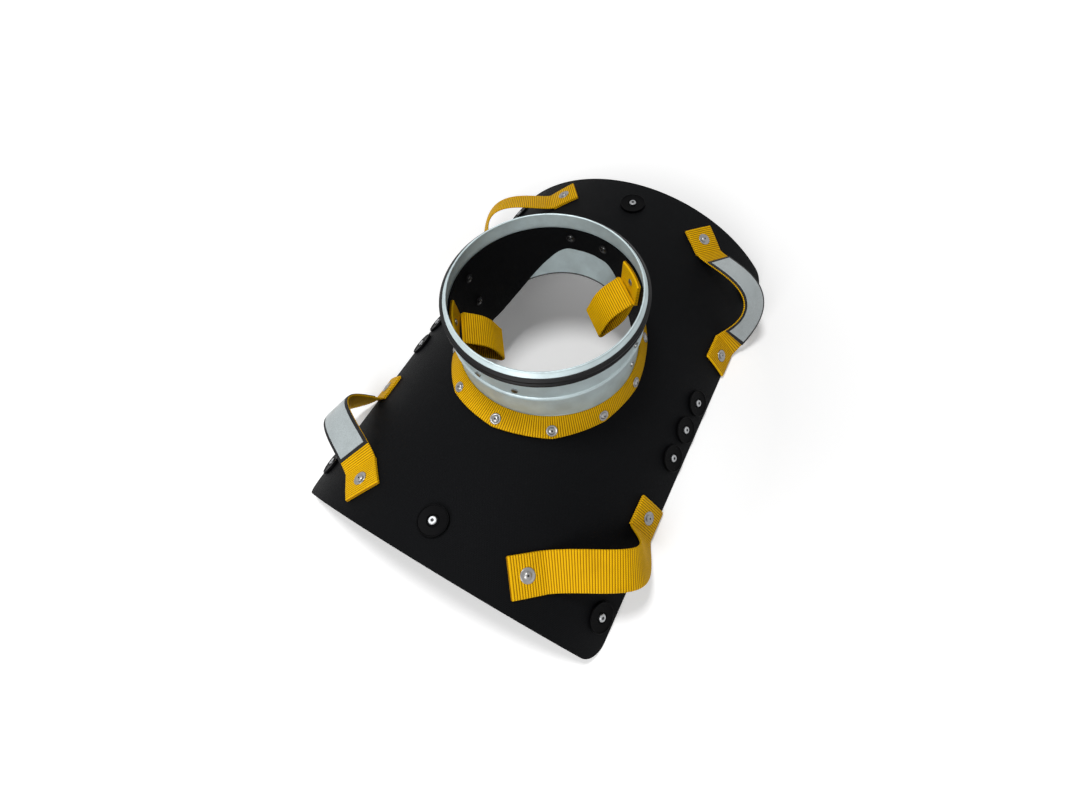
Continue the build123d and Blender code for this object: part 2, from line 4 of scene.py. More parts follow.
import bmesh
import bpy
import numpy as np
from bpy.props import FloatProperty, FloatVectorProperty, IntProperty, PointerProperty
from bpy.types import Operator, Panel, PropertyGroup
from mathutils import Matrix, Vector, noise

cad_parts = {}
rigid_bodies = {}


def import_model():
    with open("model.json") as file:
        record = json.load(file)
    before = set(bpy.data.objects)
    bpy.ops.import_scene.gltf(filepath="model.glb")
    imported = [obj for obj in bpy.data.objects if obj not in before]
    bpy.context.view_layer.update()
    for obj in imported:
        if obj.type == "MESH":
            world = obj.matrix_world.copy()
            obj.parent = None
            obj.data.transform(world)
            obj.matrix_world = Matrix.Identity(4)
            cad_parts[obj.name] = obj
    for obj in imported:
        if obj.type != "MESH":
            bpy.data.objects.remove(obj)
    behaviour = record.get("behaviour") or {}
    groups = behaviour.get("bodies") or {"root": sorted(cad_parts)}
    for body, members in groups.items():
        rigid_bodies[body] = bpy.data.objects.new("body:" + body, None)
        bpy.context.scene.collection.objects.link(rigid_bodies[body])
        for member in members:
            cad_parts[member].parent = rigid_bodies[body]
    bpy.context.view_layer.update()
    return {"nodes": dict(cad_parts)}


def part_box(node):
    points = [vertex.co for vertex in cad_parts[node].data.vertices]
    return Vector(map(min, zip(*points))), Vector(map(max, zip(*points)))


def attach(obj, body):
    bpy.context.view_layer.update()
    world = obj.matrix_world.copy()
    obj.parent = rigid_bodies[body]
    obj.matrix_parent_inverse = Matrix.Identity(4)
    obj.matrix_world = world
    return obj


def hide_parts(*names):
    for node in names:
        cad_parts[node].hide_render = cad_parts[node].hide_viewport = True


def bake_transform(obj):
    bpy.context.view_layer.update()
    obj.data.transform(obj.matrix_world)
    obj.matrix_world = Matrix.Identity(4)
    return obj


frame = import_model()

bl_info = {
    "name": "Magnetic smoke hood",
    "version": (1, 0, 0),
    "blender": (4, 5, 0),
    "location": "3D View > Sidebar > Smoke hood",
    "description": "Sheet, webbing, rivets and finishes of a magnetic smoke hood, and its studio",
    "category": "Object",
}

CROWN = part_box("sheet")[1].z
QUADRANTS = {"near_right": (1, 1), "near_left": (-1, 1), "far_right": (1, -1), "far_left": (-1, -1)}
PATCHED = ("near_left", "far_right")
UV_NAME = "Weave"


def length_property(label, description, value):
    return FloatProperty(
        name=label, description=description, default=value, subtype="DISTANCE", unit="LENGTH"
    )


def colour_property(label, description, value):
    return FloatVectorProperty(
        name=label, description=description, default=value, size=3, min=0, max=1, subtype="COLOR"
    )


class HoodSheetSizes(PropertyGroup):
    """The flexible sheet: its cut, its arch, its duct hole and its coated weave."""

    width: length_property("Width", "Sheet size across the arch, laid flat", 0.55)
    length: length_property("Length", "Sheet size along the arch", 0.675)
    thickness: length_property("Thickness", "Sheet thickness", 0.003)
    corner: length_property("Corner radius", "Radius of the four corners", 0.03)
    arch: length_property("Arch radius", "Bend radius of the sheet's middle", 0.3)
    hole_across: length_property(
        "Hole half width", "Half of the duct hole across the arch, laid flat", 0.1274
    )
    hole_along: length_property("Hole half length", "Half of the duct hole along the arch", 0.12365)
    ripple: length_property("Ripple", "Depth of the sheet's slight unevenness", 0.0004)
    weave: length_property("Weave pitch", "Distance between pebbles of the coated weave", 0.0022)
    colour: colour_property("Coating", "Colour of the coated weave", (0.0030, 0.0032, 0.0036))
    # Painted highlight: the lighter colour given to the crests of the weave's pebbles
    bloom: colour_property("Highlight", "Colour of the painted bloom on the weave", (0.016, 0.017, 0.020))
    cut: colour_property("Cut edge", "Colour of the sheet's cut edge", (0.16, 0.165, 0.17))


class HoodDiscSizes(PropertyGroup):
    """The clamp discs and their screws."""

    radius: length_property("Disc radius", "Outer radius of a clamp disc", 0.02)
    height: length_property("Disc height", "Height of a clamp disc over the sheet, with its rim", 0.0041)
    rim: length_property("Rim width", "Width of the raised rim", 0.002)
    recess: length_property("Recess radius", "Radius of the recess for the screw's head", 0.007)
    end_margin: length_property("End margin", "From the sheet's end to the middle discs", 0.0475)
    corner_margin: length_property("Corner margin", "From the sheet's end to the corner discs", 0.0525)
    side_margin: length_property("Side margin", "From the sheet's side to the side discs", 0.028)
    pitch: length_property("Pitch", "Distance between the three discs of each side", 0.049)
    colour: colour_property("Disc", "Colour of the moulded discs", (0.0016, 0.0016, 0.0019))
    screw: colour_property("Screw", "Colour of the zinc-plated screws", (0.38, 0.39, 0.40))


class HoodWebbingSizes(PropertyGroup):
    """Webbing of the handles, the collar and the inner loops."""

    thickness: length_property("Thickness", "Webbing thickness", 0.0022)
    rib: length_property("Rib height", "Height of the woven ribs", 0.00042)
    handle_pitch: length_property("Handle rib pitch", "Distance between ribs on the handles", 0.0033)
    collar_pitch: length_property("Collar rib pitch", "Distance between ribs on the collar", 0.0031)
    handle_width: length_property("Handle width", "Width of the handle webbing", 0.05)
    tab: length_property("Tab length", "Length of each doubled tab", 0.044)
    rise: length_property("Handle rise", "Height of a handle's middle over its tabs", 0.046)
    collar_width: length_property("Collar width", "Width of the collar webbing", 0.03)
    scallop: length_property("Collar scallop", "How far the collar's edge draws in between rivets", 0.0022)
    base: colour_property("Webbing", "Colour of the yarn", (0.74, 0.38, 0.001))
    crest: colour_property("Crest", "Colour of the ribs' lit crests", (1.0, 0.66, 0.003))
    shade: colour_property("Valley", "Colour between the ribs", (0.20, 0.07, 0.0006))


class HoodSteelSizes(PropertyGroup):
    """Rivet washers, eyelets and the spigot's fittings."""

    handle_washer: length_property(
        "Handle washer radius", "Outer radius of the handles' cup washers", 0.0095
    )
    collar_washer: length_property(
        "Collar washer radius", "Outer radius of the collar's cup washers", 0.0075
    )
    eyelet: length_property("Eyelet radius", "Outer radius of the lining's eyelets", 0.0065)
    washer_hole: length_property("Washer hole radius", "Hole radius of every washer", 0.00255)
    washer_height: length_property("Washer height", "Height of a cup washer's rim", 0.0014)
    spigot: length_property("Spigot radius", "Outer radius of the duct spigot", 0.1245)
    collar_rivets: IntProperty(
        name="Collar rivets", description="Number of rivets round the collar", default=12
    )
    # Painted shade: the dark colour of the washers' dish
    dish: colour_property("Dish", "Colour of the washers' shadowed dish", (0.03, 0.03, 0.03))
    # Dark colour of the rivets' stubs, partly painted shade, and of the sockets' floors, painted shade
    stub_and_hollow_shade: colour_property("Stub", "Colour of the rivets' stubs", (0.045, 0.045, 0.045))
    zinc: colour_property("Zinc", "Colour of the galvanised steel", (0.58, 0.69, 0.71))
    rivet: colour_property("Rivet", "Colour of the rivets and washers", (0.33, 0.325, 0.32))


class HoodLiningSizes(PropertyGroup):
    """The cloth sleeve that lines the spigot."""

    radius: length_property("Radius", "Outer radius of the sleeve", 0.1232)
    thickness: length_property("Thickness", "Thickness of the cloth", 0.0016)
    top: length_property("Top", "Height of the sleeve's top over the crown", 0.085)
    short: length_property("Scallop height", "Height of the scallops over the crown", 0.05)
    tongue: length_property("Tongue drop", "How far the tongues hang below the crown", 0.03)
    bulge: length_property("Bulge", "How far the left tongue bulges inwards", 0.018)
    pucker: length_property("Pucker", "Depth of the puckers", 0.0009)
    flat_width: length_property("Cut width", "Length of the cloth's cut round the spigot", 0.774)
    flat_height: length_property("Cut height", "Height of the cloth's cut", 0.115)
    colour: colour_property("Lining", "Colour of the lining cloth", (0.0024, 0.0025, 0.0030))


class HoodPatchSizes(PropertyGroup):
    """The two patches: a black backing and a pale panel."""

    first: FloatProperty(
        name="First", description="Where a patch starts on the handle's curve", default=0.10
    )
    last: FloatProperty(
        name="Last", description="Where a patch ends on the handle's curve", default=0.90
    )
    backing: length_property("Backing thickness", "Thickness of the black backing", 0.0012)
    panel: length_property("Panel thickness", "Thickness of the pale panel", 0.0006)
    border: length_property("Border", "Width of the black border", 0.0045)
    colour: colour_property("Panel", "Colour of the pale panel", (0.42, 0.47, 0.48))
    black: colour_property("Backing", "Colour of the backing", (0.012, 0.012, 0.013))


class HoodStudio(PropertyGroup):
    """Floor, lamps and camera."""

    lens: FloatProperty(name="Lens", description="Focal length in mm on a 36 mm sensor", default=15.43)
    place: FloatVectorProperty(
        name="Camera", description="Camera place", default=(0.2038, -0.3128, 0.6655), subtype="TRANSLATION"
    )
    ahead: FloatVectorProperty(
        name="Ahead", description="Direction the camera looks in", default=(-0.269, 0.353, -0.896)
    )
    upright: FloatVectorProperty(
        name="Upright", description="Direction that is up to the camera", default=(-0.404, 0.803, 0.438)
    )
    key: FloatProperty(name="Key lamp", description="Power of the key lamp", default=19.0, unit="POWER")
    fill: FloatProperty(name="Fill lamp", description="Power of the fill lamp", default=11.0, unit="POWER")
    sky: FloatProperty(name="Sky", description="Strength of the soft light from all round", default=0.15)


PROPERTY_GROUPS = {
    "hood_sheet": HoodSheetSizes,
    "hood_disc": HoodDiscSizes,
    "hood_webbing": HoodWebbingSizes,
    "hood_steel": HoodSteelSizes,
    "hood_lining": HoodLiningSizes,
    "hood_patch": HoodPatchSizes,
    "hood_studio": HoodStudio,
}

# ---- shape values shared by the pieces, in metres unless they say otherwise -----------------------
SEAT_GAP = 0.0001
SOFT_GAP = 0.0003
FLANGE = 0.001
HALF_WALL = 0.0005
WASHER = 0.001
RIVET_HOLLOW = 0.0011
STUB_RADIUS = 0.0013
SOCKET_FLOOR = 0.0033
SOCKET_RADIUS = 0.0019
CORE_THICKNESS = 0.0003
DISC_HOLE = 0.00315
DISC_SEAT = 0.0019
DISC_ROUND = 0.0006
DISC_FOOT = 0.0008
DISC_CHAMFER = 0.0003
DISC_FACE_DROP = 0.001
RECESS_FLARE = 0.0012
RECESS_EDGE = 0.0009
INNER_TAB = (0.128, -0.289)
INNER_TURN = math.radians(38)
OUTER_TAB = (0.249, -0.144)
OUTER_TURN = math.radians(90)
INNER_PULL = 0.42
OUTER_PULL = 0.30
RISE_POWER = 1.3
STRAP_STEPS = 600
PLY_STEPS = 60
# Share of the strap, from either end, over which it stops following the arch across its width
SAG_SHARE = 0.12
HINGE_RISE = 0.030
BLEND_HALF = 0.013
PATCH_STEP = 0.0015
COLLAR_SIDE_SLOPE = math.radians(68)
COLLAR_END_SLOPE = math.radians(15)
COLLAR_RIVET_MARGIN = 0.011
# Angle to either side of a collar rivet that gives the webbing's direction there
COLLAR_LOOK = math.radians(3.75)
LOOP_WIDTH = 0.05
LOOP_ROOT = 0.052
LOOP_DROOP = math.radians(50)
LOOP_LENGTH = 0.068
LOOP_BULGE = 0.011
LOOP_FOLD = 0.004
LOOP_SWELL_POWER = 1.2
LOOP_BASE_HEIGHT = 0.036
LOOP_BASE_LEAD = 0.006
LOOPS = {"right": math.radians(47), "left": math.radians(216)}
BULGE_ANGLE = math.radians(172)
BULGE_HALF = math.radians(55)
PAIR_PITCH = 0.05
PAIR_HEIGHT = 0.07
SIDE_HEIGHTS = (0.022, 0.066)
# Shares of the lining's radius, across the arch, between which a tongue's edge comes down
TONGUE_FROM = 0.2
TONGUE_TO = 0.95
PUCKER_FADE = 0.02
# The puckers start at this share of this angle from a loop's base
BASE_SHARE = 0.8
BASE_CLEAR = math.radians(18)
RIPPLE_SCALE = 9
FINE_RIPPLE_SCALE = 27
GRID_STEPS = (110, 135)
LINING_STEPS = (360, 44)
RIB_STEPS = 6
RIB_SINK = 0.35
EDGE_RIB = 0.4
BEAD_PITCH = 0.0021
ROW_SHARE = 0.8
FLOOR_SIZE = 12
# Distances from the middle between which the floor's glow grows, and its level at each
GLOW_REACH = (0.35, 1.2)
GLOW_LEVEL = (0.17, 0.95)
# Place and size of each lamp
KEY_LAMP = ((-0.32, 0.12, 1.9), 0.45)
FILL_LAMP = ((0.1, -1.2, 0.95), 0.8)

# Cup washer's section from its foot to its lip, as (share of the radius, inset, share of the height,
# lift, rounding share)
WASHER_SECTION = (
    (1.0, 0.0004, 0.0, 0.0, 0),
    (1.0, 0.0, 0.0, 0.0003, 1),
    (1.0, 0.0002, 0.80, 0.0, 1),
    (1.0, 0.0012, 1.0, 0.0, 1),
    (1.0, 0.0024, 0.72, 0.0, 1),
    (0.56, 0.0, 0.42, 0.0, 1),
    (0.50, 0.0, 0.60, 0.0, 1),
)
WASHER_LIP = 0.62
WASHER_ROUND = 0.0005
# The dish's darker second finish, painted shade, runs from this share of the radius to this far inside the
# edge
DISH_FROM = 0.52
DISH_MARGIN = 0.0016

# ---- colours of what a user would not change --------------------------------------------------------
WHITE = (1, 1, 1)
FLOOR_WHITE = (0.95, 0.95, 0.95)
CUT_EDGE_DARK = (0.03, 0.031, 0.034)
RIVET_BLACK = (0.006, 0.006, 0.007)
SEAL_BLACK = (0.0045, 0.0045, 0.005)
EYELET_BLACK = (0.004, 0.004, 0.0045)
MAGNET_BLACK = (0.009, 0.009, 0.0095)
# Painted highlight on the crests of the lining cloth's weave
LINING_HIGHLIGHT = (0.008, 0.009, 0.011)
PLATE_STEEL = (0.45, 0.46, 0.48)
MAGNET_ALLOY = (0.50, 0.49, 0.47)


# ---- frames on the arch, the collar and the spigot's wall ------------------------------------------
def frame_of(across, along, outward, place):
    """Matrix whose X, Y and Z are three directions and whose origin is a place."""
    matrix = Matrix((across, along, outward)).transposed().to_4x4()
    matrix.translation = place
    return matrix


def arch_radius(scene):
    return scene.hood_sheet.arch + scene.hood_sheet.thickness / 2


def on_sheet(scene, s, y, lift=0.0):
    """Frame on the sheet's top: s is measured across the arch, y along it, and lift above it."""
    turn = s / scene.hood_sheet.arch
    radius = arch_radius(scene)
    outward = Vector((math.sin(turn), 0, math.cos(turn)))
    place = Vector((0, y, CROWN - radius)) + outward * (radius + lift)
    return frame_of(Vector((math.cos(turn), 0, -math.sin(turn))), Vector((0, 1, 0)), outward, place)


def collar_line(scene, turn, inset, low):
    """Upper and lower end of the collar's slanted section at one angle, as (radius, z) pairs."""
    side_to_end = abs(math.sin(turn)) ** 3
    slope = COLLAR_SIDE_SLOPE + (COLLAR_END_SLOPE - COLLAR_SIDE_SLOPE) * side_to_end
    spigot = scene.hood_steel.spigot
    width = scene.hood_webbing.collar_width
    top = arch_radius(scene)
    foot_r = spigot + width * math.cos(slope)
    foot_z = CROWN - top + math.sqrt(top**2 - (foot_r * math.cos(turn)) ** 2) + SOFT_GAP
    start_z = foot_z + width * math.sin(slope)
    along = np.array((math.cos(slope), -math.sin(slope)))
    outward = np.array((math.sin(slope), math.cos(slope)))
    upper = np.array((spigot + inset, start_z - inset * math.tan(slope))) + low * outward
    return upper, upper + (width - inset / math.cos(slope)) * along


def collar_spot(scene, turn):
    """Place on the collar's outer face where a rivet stands, and the way down the webbing there."""
    lift = FLANGE + SEAT_GAP + scene.hood_webbing.thickness
    ends = [
        Vector((radius * math.cos(turn), radius * math.sin(turn), z))
        for radius, z in collar_line(scene, turn, SEAT_GAP, lift)
    ]
    down = ends[1] - ends[0]
    return ends[0] + down * (1 - COLLAR_RIVET_MARGIN / scene.hood_webbing.collar_width), down.normalized()


def collar_frame(scene, turn):
    place, down = collar_spot(scene, turn)
    ahead, behind = (collar_spot(scene, turn + step)[0] for step in (COLLAR_LOOK, -COLLAR_LOOK))
    around = (ahead - behind).normalized()
    outward = down.cross(around).normalized()
    return frame_of(around, outward.cross(around), outward, place)


def collar_frames(scene, lift):
    """Frames of the collar's rivets, lift above the webbing."""
    count = scene.hood_steel.collar_rivets
    turns = [2 * math.pi * i / count for i in range(count)]
    return [collar_frame(scene, turn) @ Matrix.Translation((0, 0, lift)) for turn in turns]


def tab_frames(scene, lift):
    """Frames of the handles' eight tabs, lift above the sheet."""
    return [
        on_sheet(scene, x_side * s, y_side * y, lift)
        for x_side, y_side in QUADRANTS.values()
        for s, y in (INNER_TAB, OUTER_TAB)
    ]


def angle_between(first, second):
    """How far two angles round the spigot lie apart."""
    return abs((first - second + math.pi) % (2 * math.pi) - math.pi)


def lining_radius(scene, turn, z, depth=0.0):
    """Radius of the lining's outer face at an angle and height, or of what lies depth inside it."""
    lining = scene.hood_lining
    off = angle_between(turn, BULGE_ANGLE)
    bulge = lining.bulge * math.cos(math.pi / 2 * off / BULGE_HALF) ** 2 if off < BULGE_HALF else 0.0
    share = (CROWN + lining.top - z) / (lining.top + lining.tongue)
    return lining.radius - depth - bulge * share


def wall_frame(scene, turn, z, depth):
    """Frame on the lining's inner side, with Z towards the spigot's middle."""
    radius = lining_radius(scene, turn, z, depth)
    outward = Vector((-math.cos(turn), -math.sin(turn), 0))
    around = Vector((-math.sin(turn), math.cos(turn), 0))
    return frame_of(around, outward.cross(around), outward, -outward * radius + Vector((0, 0, z)))


# ---- mesh tools --------------------------------------------------------------------------------------
def new_object(name, data):
    """Object that holds the data, in the scene."""
    thing = bpy.data.objects.new(name, data)
    bpy.context.scene.collection.objects.link(thing)
    return thing


def deselect():
    for thing in bpy.context.view_layer.objects:
        thing.select_set(False)


def make_active(thing):
    deselect()
    thing.select_set(True)
    bpy.context.view_layer.objects.active = thing


def outward_normals(piece):
    """Merges doubles and turns every face of a closed piece outwards."""
    mesh = bmesh.new()
    mesh.from_mesh(piece.data)
    bmesh.ops.remove_doubles(mesh, verts=mesh.verts, dist=1e-7)
    bmesh.ops.recalc_face_normals(mesh, faces=mesh.faces)
    mesh.to_mesh(piece.data)
    mesh.free()
    return piece


def smooth(piece, degrees=35):
    make_active(piece)
    bpy.ops.object.shade_smooth_by_angle(angle=math.radians(degrees))
    return piece


def from_points(name, points, faces, weave=None):
    """Piece from rows of points and faces, with a UV map in metres where weave gives one per point."""
    mesh = bpy.data.meshes.new(name)
    mesh.from_pydata([tuple(p) for p in points], [], faces)
    if weave is not None:
        layer = mesh.uv_layers.new(name=UV_NAME)
        corners = np.zeros(len(mesh.loops), np.int32)
        mesh.loops.foreach_get("vertex_index", corners)
        layer.data.foreach_set("uv", np.asarray(weave, np.float32)[corners].ravel())
    return new_object(name, mesh)


def turned(name, outline, steps=48):
    """Piece turned round the Z axis from an outline of (radius, z) points."""
    mesh = bpy.data.meshes.new(name)
    count = len(outline)
    closed = outline[0][0] > 0
    edges = [(i, i + 1) for i in range(count - 1)] + ([(count - 1, 0)] if closed else [])
    mesh.from_pydata([(radius, 0, z) for radius, z in outline], edges, [])
    piece = new_object(name, mesh)
    make_active(piece)
    bpy.ops.object.mode_set(mode="EDIT")
    bpy.ops.mesh.select_all(action="SELECT")
    bpy.ops.mesh.spin(steps=steps, angle=2 * math.pi, center=(0, 0, 0), axis=(0, 0, 1))
    bpy.ops.mesh.select_all(action="SELECT")
    bpy.ops.mesh.remove_doubles(threshold=1e-6)
    bpy.ops.mesh.normals_make_consistent(inside=False)
    bpy.ops.object.mode_set(mode="OBJECT")
    return piece


def rounded(corners, reach, steps=3):
    """Outline of (radius, z, rounding share) corners, with each replaced by a small arc."""
    points = []
    count = len(corners)
    for i, (radius, z, share) in enumerate(corners):
        here = np.array((radius, z))
        if share == 0:
            points.append(tuple(here))
            continue
        ends = []
        for neighbour in (corners[i - 1], corners[(i + 1) % count]):
            way = np.array(neighbour[:2]) - here
            length = np.linalg.norm(way)
            ends.append(here + way / length * min(reach * share, length / 2))
        first, last = ends
        for k in range(steps + 1):
            t = k / steps
            points.append(tuple((1 - t) ** 2 * first + 2 * t * (1 - t) * here + t * t * last))
    return points


def repeated(name, pattern, frames):
    """One piece holding a copy of the pattern in each frame. The pattern itself is removed."""
    mesh = bmesh.new()
    for place in frames:
        copy = pattern.data.copy()
        copy.transform(place)
        mesh.from_mesh(copy)
        bpy.data.meshes.remove(copy)
    data = bpy.data.meshes.new(name)
    mesh.to_mesh(data)
    mesh.free()
    bpy.data.objects.remove(pattern)
    return new_object(name, data)


def apply_modifier(piece, kind, **settings):
    make_active(piece)
    modifier = piece.modifiers.new(kind.title(), kind)
    for name, value in settings.items():
        setattr(modifier, name, value)
    bpy.ops.object.modifier_apply(modifier=modifier.name)


def settle(piece, finish, body, slot, *nodes, hinge=None):
    """Gives a piece its finish, or a row of finishes, fixes it to its body and hides the frame's nodes that
    it replaces.

    A piece with a hinge is webbing, baked where it stands and fixed to no body; its hinge points are read
    but not used.
    """
    if finish is not None:
        piece.data.materials.clear()
        for each in finish if isinstance(finish, tuple) else (finish,):
            piece.data.materials.append(each)
    if hinge is None:
        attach(piece, body)
    else:
        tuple(hinge[0])
        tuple(hinge[1])
        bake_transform(piece)
    if nodes:
        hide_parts(*nodes)


def finish_node(name, finish):
    """Gives a node of the frame a finish."""
    node = frame["nodes"][name]
    node.data.materials.clear()
    node.data.materials.append(finish)


# ---- finishes --------------------------------------------------------------------------------------
def shaded(colour, share):
    return tuple(min(1.0, channel * share) for channel in colour)


class Finish:
    """One node material, built from small steps."""

    def __init__(self, name, **fixed):
        self.material = bpy.data.materials.new(name)
        self.material.use_nodes = True
        self.tree = self.material.node_tree
        self.shader = self.tree.nodes["Principled BSDF"]
        for socket, value in fixed.items():
            self.shader.inputs[socket.replace("_", " ").title().replace("Ior", "IOR")].default_value = value

    def feed(self, socket, value):
        if isinstance(value, bpy.types.NodeSocket):
            self.tree.links.new(value, socket)
        elif socket.type == "RGBA" and len(value) == 3:
            socket.default_value = (*value, 1)
        else:
            socket.default_value = value

    def node(self, kind, inputs=(), **settings):
        made = self.tree.nodes.new(kind)
        for name, value in settings.items():
            setattr(made, name, value)
        for index, value in dict(inputs).items():
            self.feed(made.inputs[index], value)
        return made

    def math(self, operation, first, second=0.0, third=0.0):
        values = {0: first, 1: second, 2: third}
        return self.node("ShaderNodeMath", values, operation=operation).outputs[0]

    def mix(self, share, low, high):
        return self.node("ShaderNodeMix", {0: share, 6: low, 7: high}, data_type="RGBA").outputs[2]

    def between(self, value, low, high):
        """A value, taken from low..high to 0..1 and held there."""
        return self.node("ShaderNodeMapRange", {0: value, 1: low, 2: high}).outputs[0]

    def spread(self, value, low, high):
        """A value of 0..1, taken to low..high."""
        return self.node("ShaderNodeMapRange", {0: value, 3: low, 4: high}).outputs[0]

    def weave_axes(self):
        """The piece's own UV in metres: along and across the cloth."""
        split = self.node("ShaderNodeSeparateXYZ", {0: self.weave_vector()})
        return split.outputs[0], split.outputs[1]

    def weave_vector(self):
        return self.node("ShaderNodeUVMap", uv_map=UV_NAME).outputs[0]

    def object_vector(self, scale=(1, 1, 1)):
        return self.stretched(self.node("ShaderNodeTexCoord").outputs["Object"], scale)

    def stretched(self, vector, scale):
        return self.node("ShaderNodeMapping", {"Vector": vector, "Scale": scale}).outputs[0]

    def noise(self, vector, scale, detail=3.0, roughness=0.55):
        inputs = {"Vector": vector, "Scale": scale, "Detail": detail, "Roughness": roughness}
        return self.node("ShaderNodeTexNoise", inputs).outputs[0]

    def cells(self, vector, scale, output="Distance"):
        return self.node("ShaderNodeTexVoronoi", {"Vector": vector, "Scale": scale}).outputs[output]

    def bump(self, height, depth, strength):
        inputs = {"Height": height, "Distance": depth, "Strength": strength}
        return self.node("ShaderNodeBump", inputs).outputs[0]

    def done(self, colour=None, roughness=None, normal=None, metallic=None):
        links = {"Base Color": colour, "Roughness": roughness, "Normal": normal, "Metallic": metallic}
        for name, value in links.items():
            if value is not None:
                self.feed(self.shader.inputs[name], value)
        return self.material


def coated_weave(name, colour, bloom, pitch, roughness=0.62):
    """Black rubber-coated weave: staggered pebbles whose crests are lightened by a painted highlight."""
    finish = Finish(name, specular_ior_level=0.04)
    along, across = finish.weave_axes()
    rows = finish.math("DIVIDE", across, pitch * ROW_SHARE)
    row = finish.math("FLOOR", rows)
    shifted = finish.math("MULTIPLY_ADD", row, 0.5, finish.math("DIVIDE", along, pitch))
    x, y = (finish.math("SUBTRACT", finish.math("FRACT", value), 0.5) for value in (shifted, rows))
    square = finish.math("ADD", finish.math("POWER", x, 2.0), finish.math("POWER", y, 2.0))
    pebble = finish.between(square, 0.30, 0.02)
    vector = finish.weave_vector()
    patchy = finish.noise(vector, 9.0, detail=4.0)
    grain = finish.noise(vector, 900.0, detail=2.0, roughness=0.7)
    # Painted highlight: the pebbles' crests are lightened towards the highlight colour, in random patches
    highlight_share = finish.math("MULTIPLY", pebble, finish.between(grain, 0.42, 0.75))
    highlight_share = finish.math("MULTIPLY", highlight_share, finish.spread(patchy, 0.15, 1.0))
    tint = finish.mix(finish.math("MULTIPLY", highlight_share, 0.75), colour, bloom)
    height = finish.math("MULTIPLY_ADD", grain, 0.25, pebble)
    rough = finish.spread(patchy, roughness - 0.10, roughness + 0.08)
    return finish.done(tint, rough, finish.bump(height, depth=0.00028, strength=0.8))


def cut_edge_finish(scene):
    finish = Finish("Sheet cut edge", specular_ior_level=0.3)
    fleck = finish.noise(finish.object_vector(), 700.0)
    tint = finish.mix(finish.between(fleck, 0.35, 0.7), CUT_EDGE_DARK, scene.hood_sheet.cut)
    relief = finish.bump(fleck, depth=0.0002, strength=0.6)
    return finish.done(tint, finish.spread(fleck, 0.55, 0.8), relief)


def webbing_finish(scene, name, pitch):
    """Ribbed yellow webbing: each rib is a row of small beads that zigzag across the width."""
    sizes = scene.hood_webbing
    finish = Finish(name, specular_ior_level=0.08)
    along, across = finish.weave_axes()
    zigzag = finish.math("PINGPONG", across, BEAD_PITCH / 2)
    phase = finish.math("DIVIDE", finish.math("MULTIPLY_ADD", zigzag, 0.55, along), pitch)
    ridge = finish.math("ABSOLUTE", finish.math("COSINE", finish.math("MULTIPLY", phase, math.pi)))
    bead = finish.math("DIVIDE", zigzag, BEAD_PITCH / 2)
    fibres = finish.noise(finish.stretched(finish.weave_vector(), (1, 6, 1)), 900.0)
    soil = finish.noise(finish.object_vector(), 22.0, detail=4.0)
    lit = finish.math("MULTIPLY", finish.between(ridge, 0.25, 1.0), finish.spread(bead, 0.55, 1.0))
    tint = finish.mix(finish.between(ridge, 0.10, 0.75), sizes.shade, sizes.base)
    tint = finish.mix(finish.math("MULTIPLY", lit, finish.between(fibres, 0.3, 0.75)), tint, sizes.crest)
    tint = finish.mix(finish.math("MULTIPLY", finish.between(soil, 0.50, 0.78), 0.22), tint, sizes.shade)
    height = finish.math("MULTIPLY_ADD", bead, 0.5, finish.math("MULTIPLY", ridge, 0.6))
    height = finish.math("MULTIPLY_ADD", fibres, 0.35, height)
    relief = finish.bump(height, depth=0.00035, strength=0.85)
    return finish.done(tint, finish.spread(fibres, 0.5, 0.75), relief)


def metal_finish(name, colour, rough=(0.25, 0.45), stretch=(1, 1, 1), spangle=0.0, dull=0.8, shine=1.0):
    """Bright metal with fine scratches, a soft cloudiness and, on zinc, large pale spangles."""
    finish = Finish(name, metallic=shine)
    vector = finish.object_vector(stretch)
    streaks = finish.noise(vector, 240.0, roughness=0.6)
    clouds = finish.noise(finish.object_vector(), 38.0, detail=4.0)
    dark = shaded(colour, dull)
    tint = finish.mix(finish.between(clouds, 0.35, 0.68), dark, tuple(colour))
    share = finish.math("MULTIPLY_ADD", streaks, 0.6, finish.math("MULTIPLY", clouds, 0.4))
    if spangle:
        flake = finish.cells(finish.object_vector(), spangle, "Color")
        tone = finish.node("ShaderNodeSeparateXYZ", {0: flake}).outputs[0]
        tint = finish.mix(finish.math("MULTIPLY", tone, 0.35), tint, dark)
        share = finish.math("MULTIPLY_ADD", tone, 0.25, share)
    relief = finish.bump(streaks, depth=0.00004, strength=0.5)
    return finish.done(tint, finish.spread(share, *rough), relief)


def lining_rivet_finish(scene):
    """Black dome inside the spigot, bright metal where the rivet comes out of its wall."""
    finish = Finish("Lining rivet", specular_ior_level=0.5)
    place = finish.node("ShaderNodeSeparateXYZ", {0: finish.object_vector()})
    x, y = (finish.math("POWER", place.outputs[i], 2.0) for i in (0, 1))
    away = finish.math("SQRT", finish.math("ADD", x, y))
    outside = finish.math("GREATER_THAN", away, scene.hood_steel.spigot - HALF_WALL)
    tint = finish.mix(outside, RIVET_BLACK, scene.hood_steel.rivet)
    return finish.done(tint, finish.spread(outside, 0.14, 0.30), metallic=outside)


def moulded_finish(name, colour, rough=(0.35, 0.55), grain=650.0, depth=0.00005, pale=2.2, gloss=0.18):
    """Moulded plastic or rubber: fine grain with scuffs that catch the light."""
    finish = Finish(name, specular_ior_level=gloss)
    vector = finish.object_vector()
    fine = finish.noise(vector, grain, detail=2.0, roughness=0.6)
    scuff = finish.noise(vector, 55.0, detail=5.0, roughness=0.65)
    tint = finish.mix(finish.between(scuff, 0.52, 0.80), tuple(colour), shaded(colour, pale))
    return finish.done(tint, finish.spread(scuff, *rough), finish.bump(fine, depth, strength=0.7))


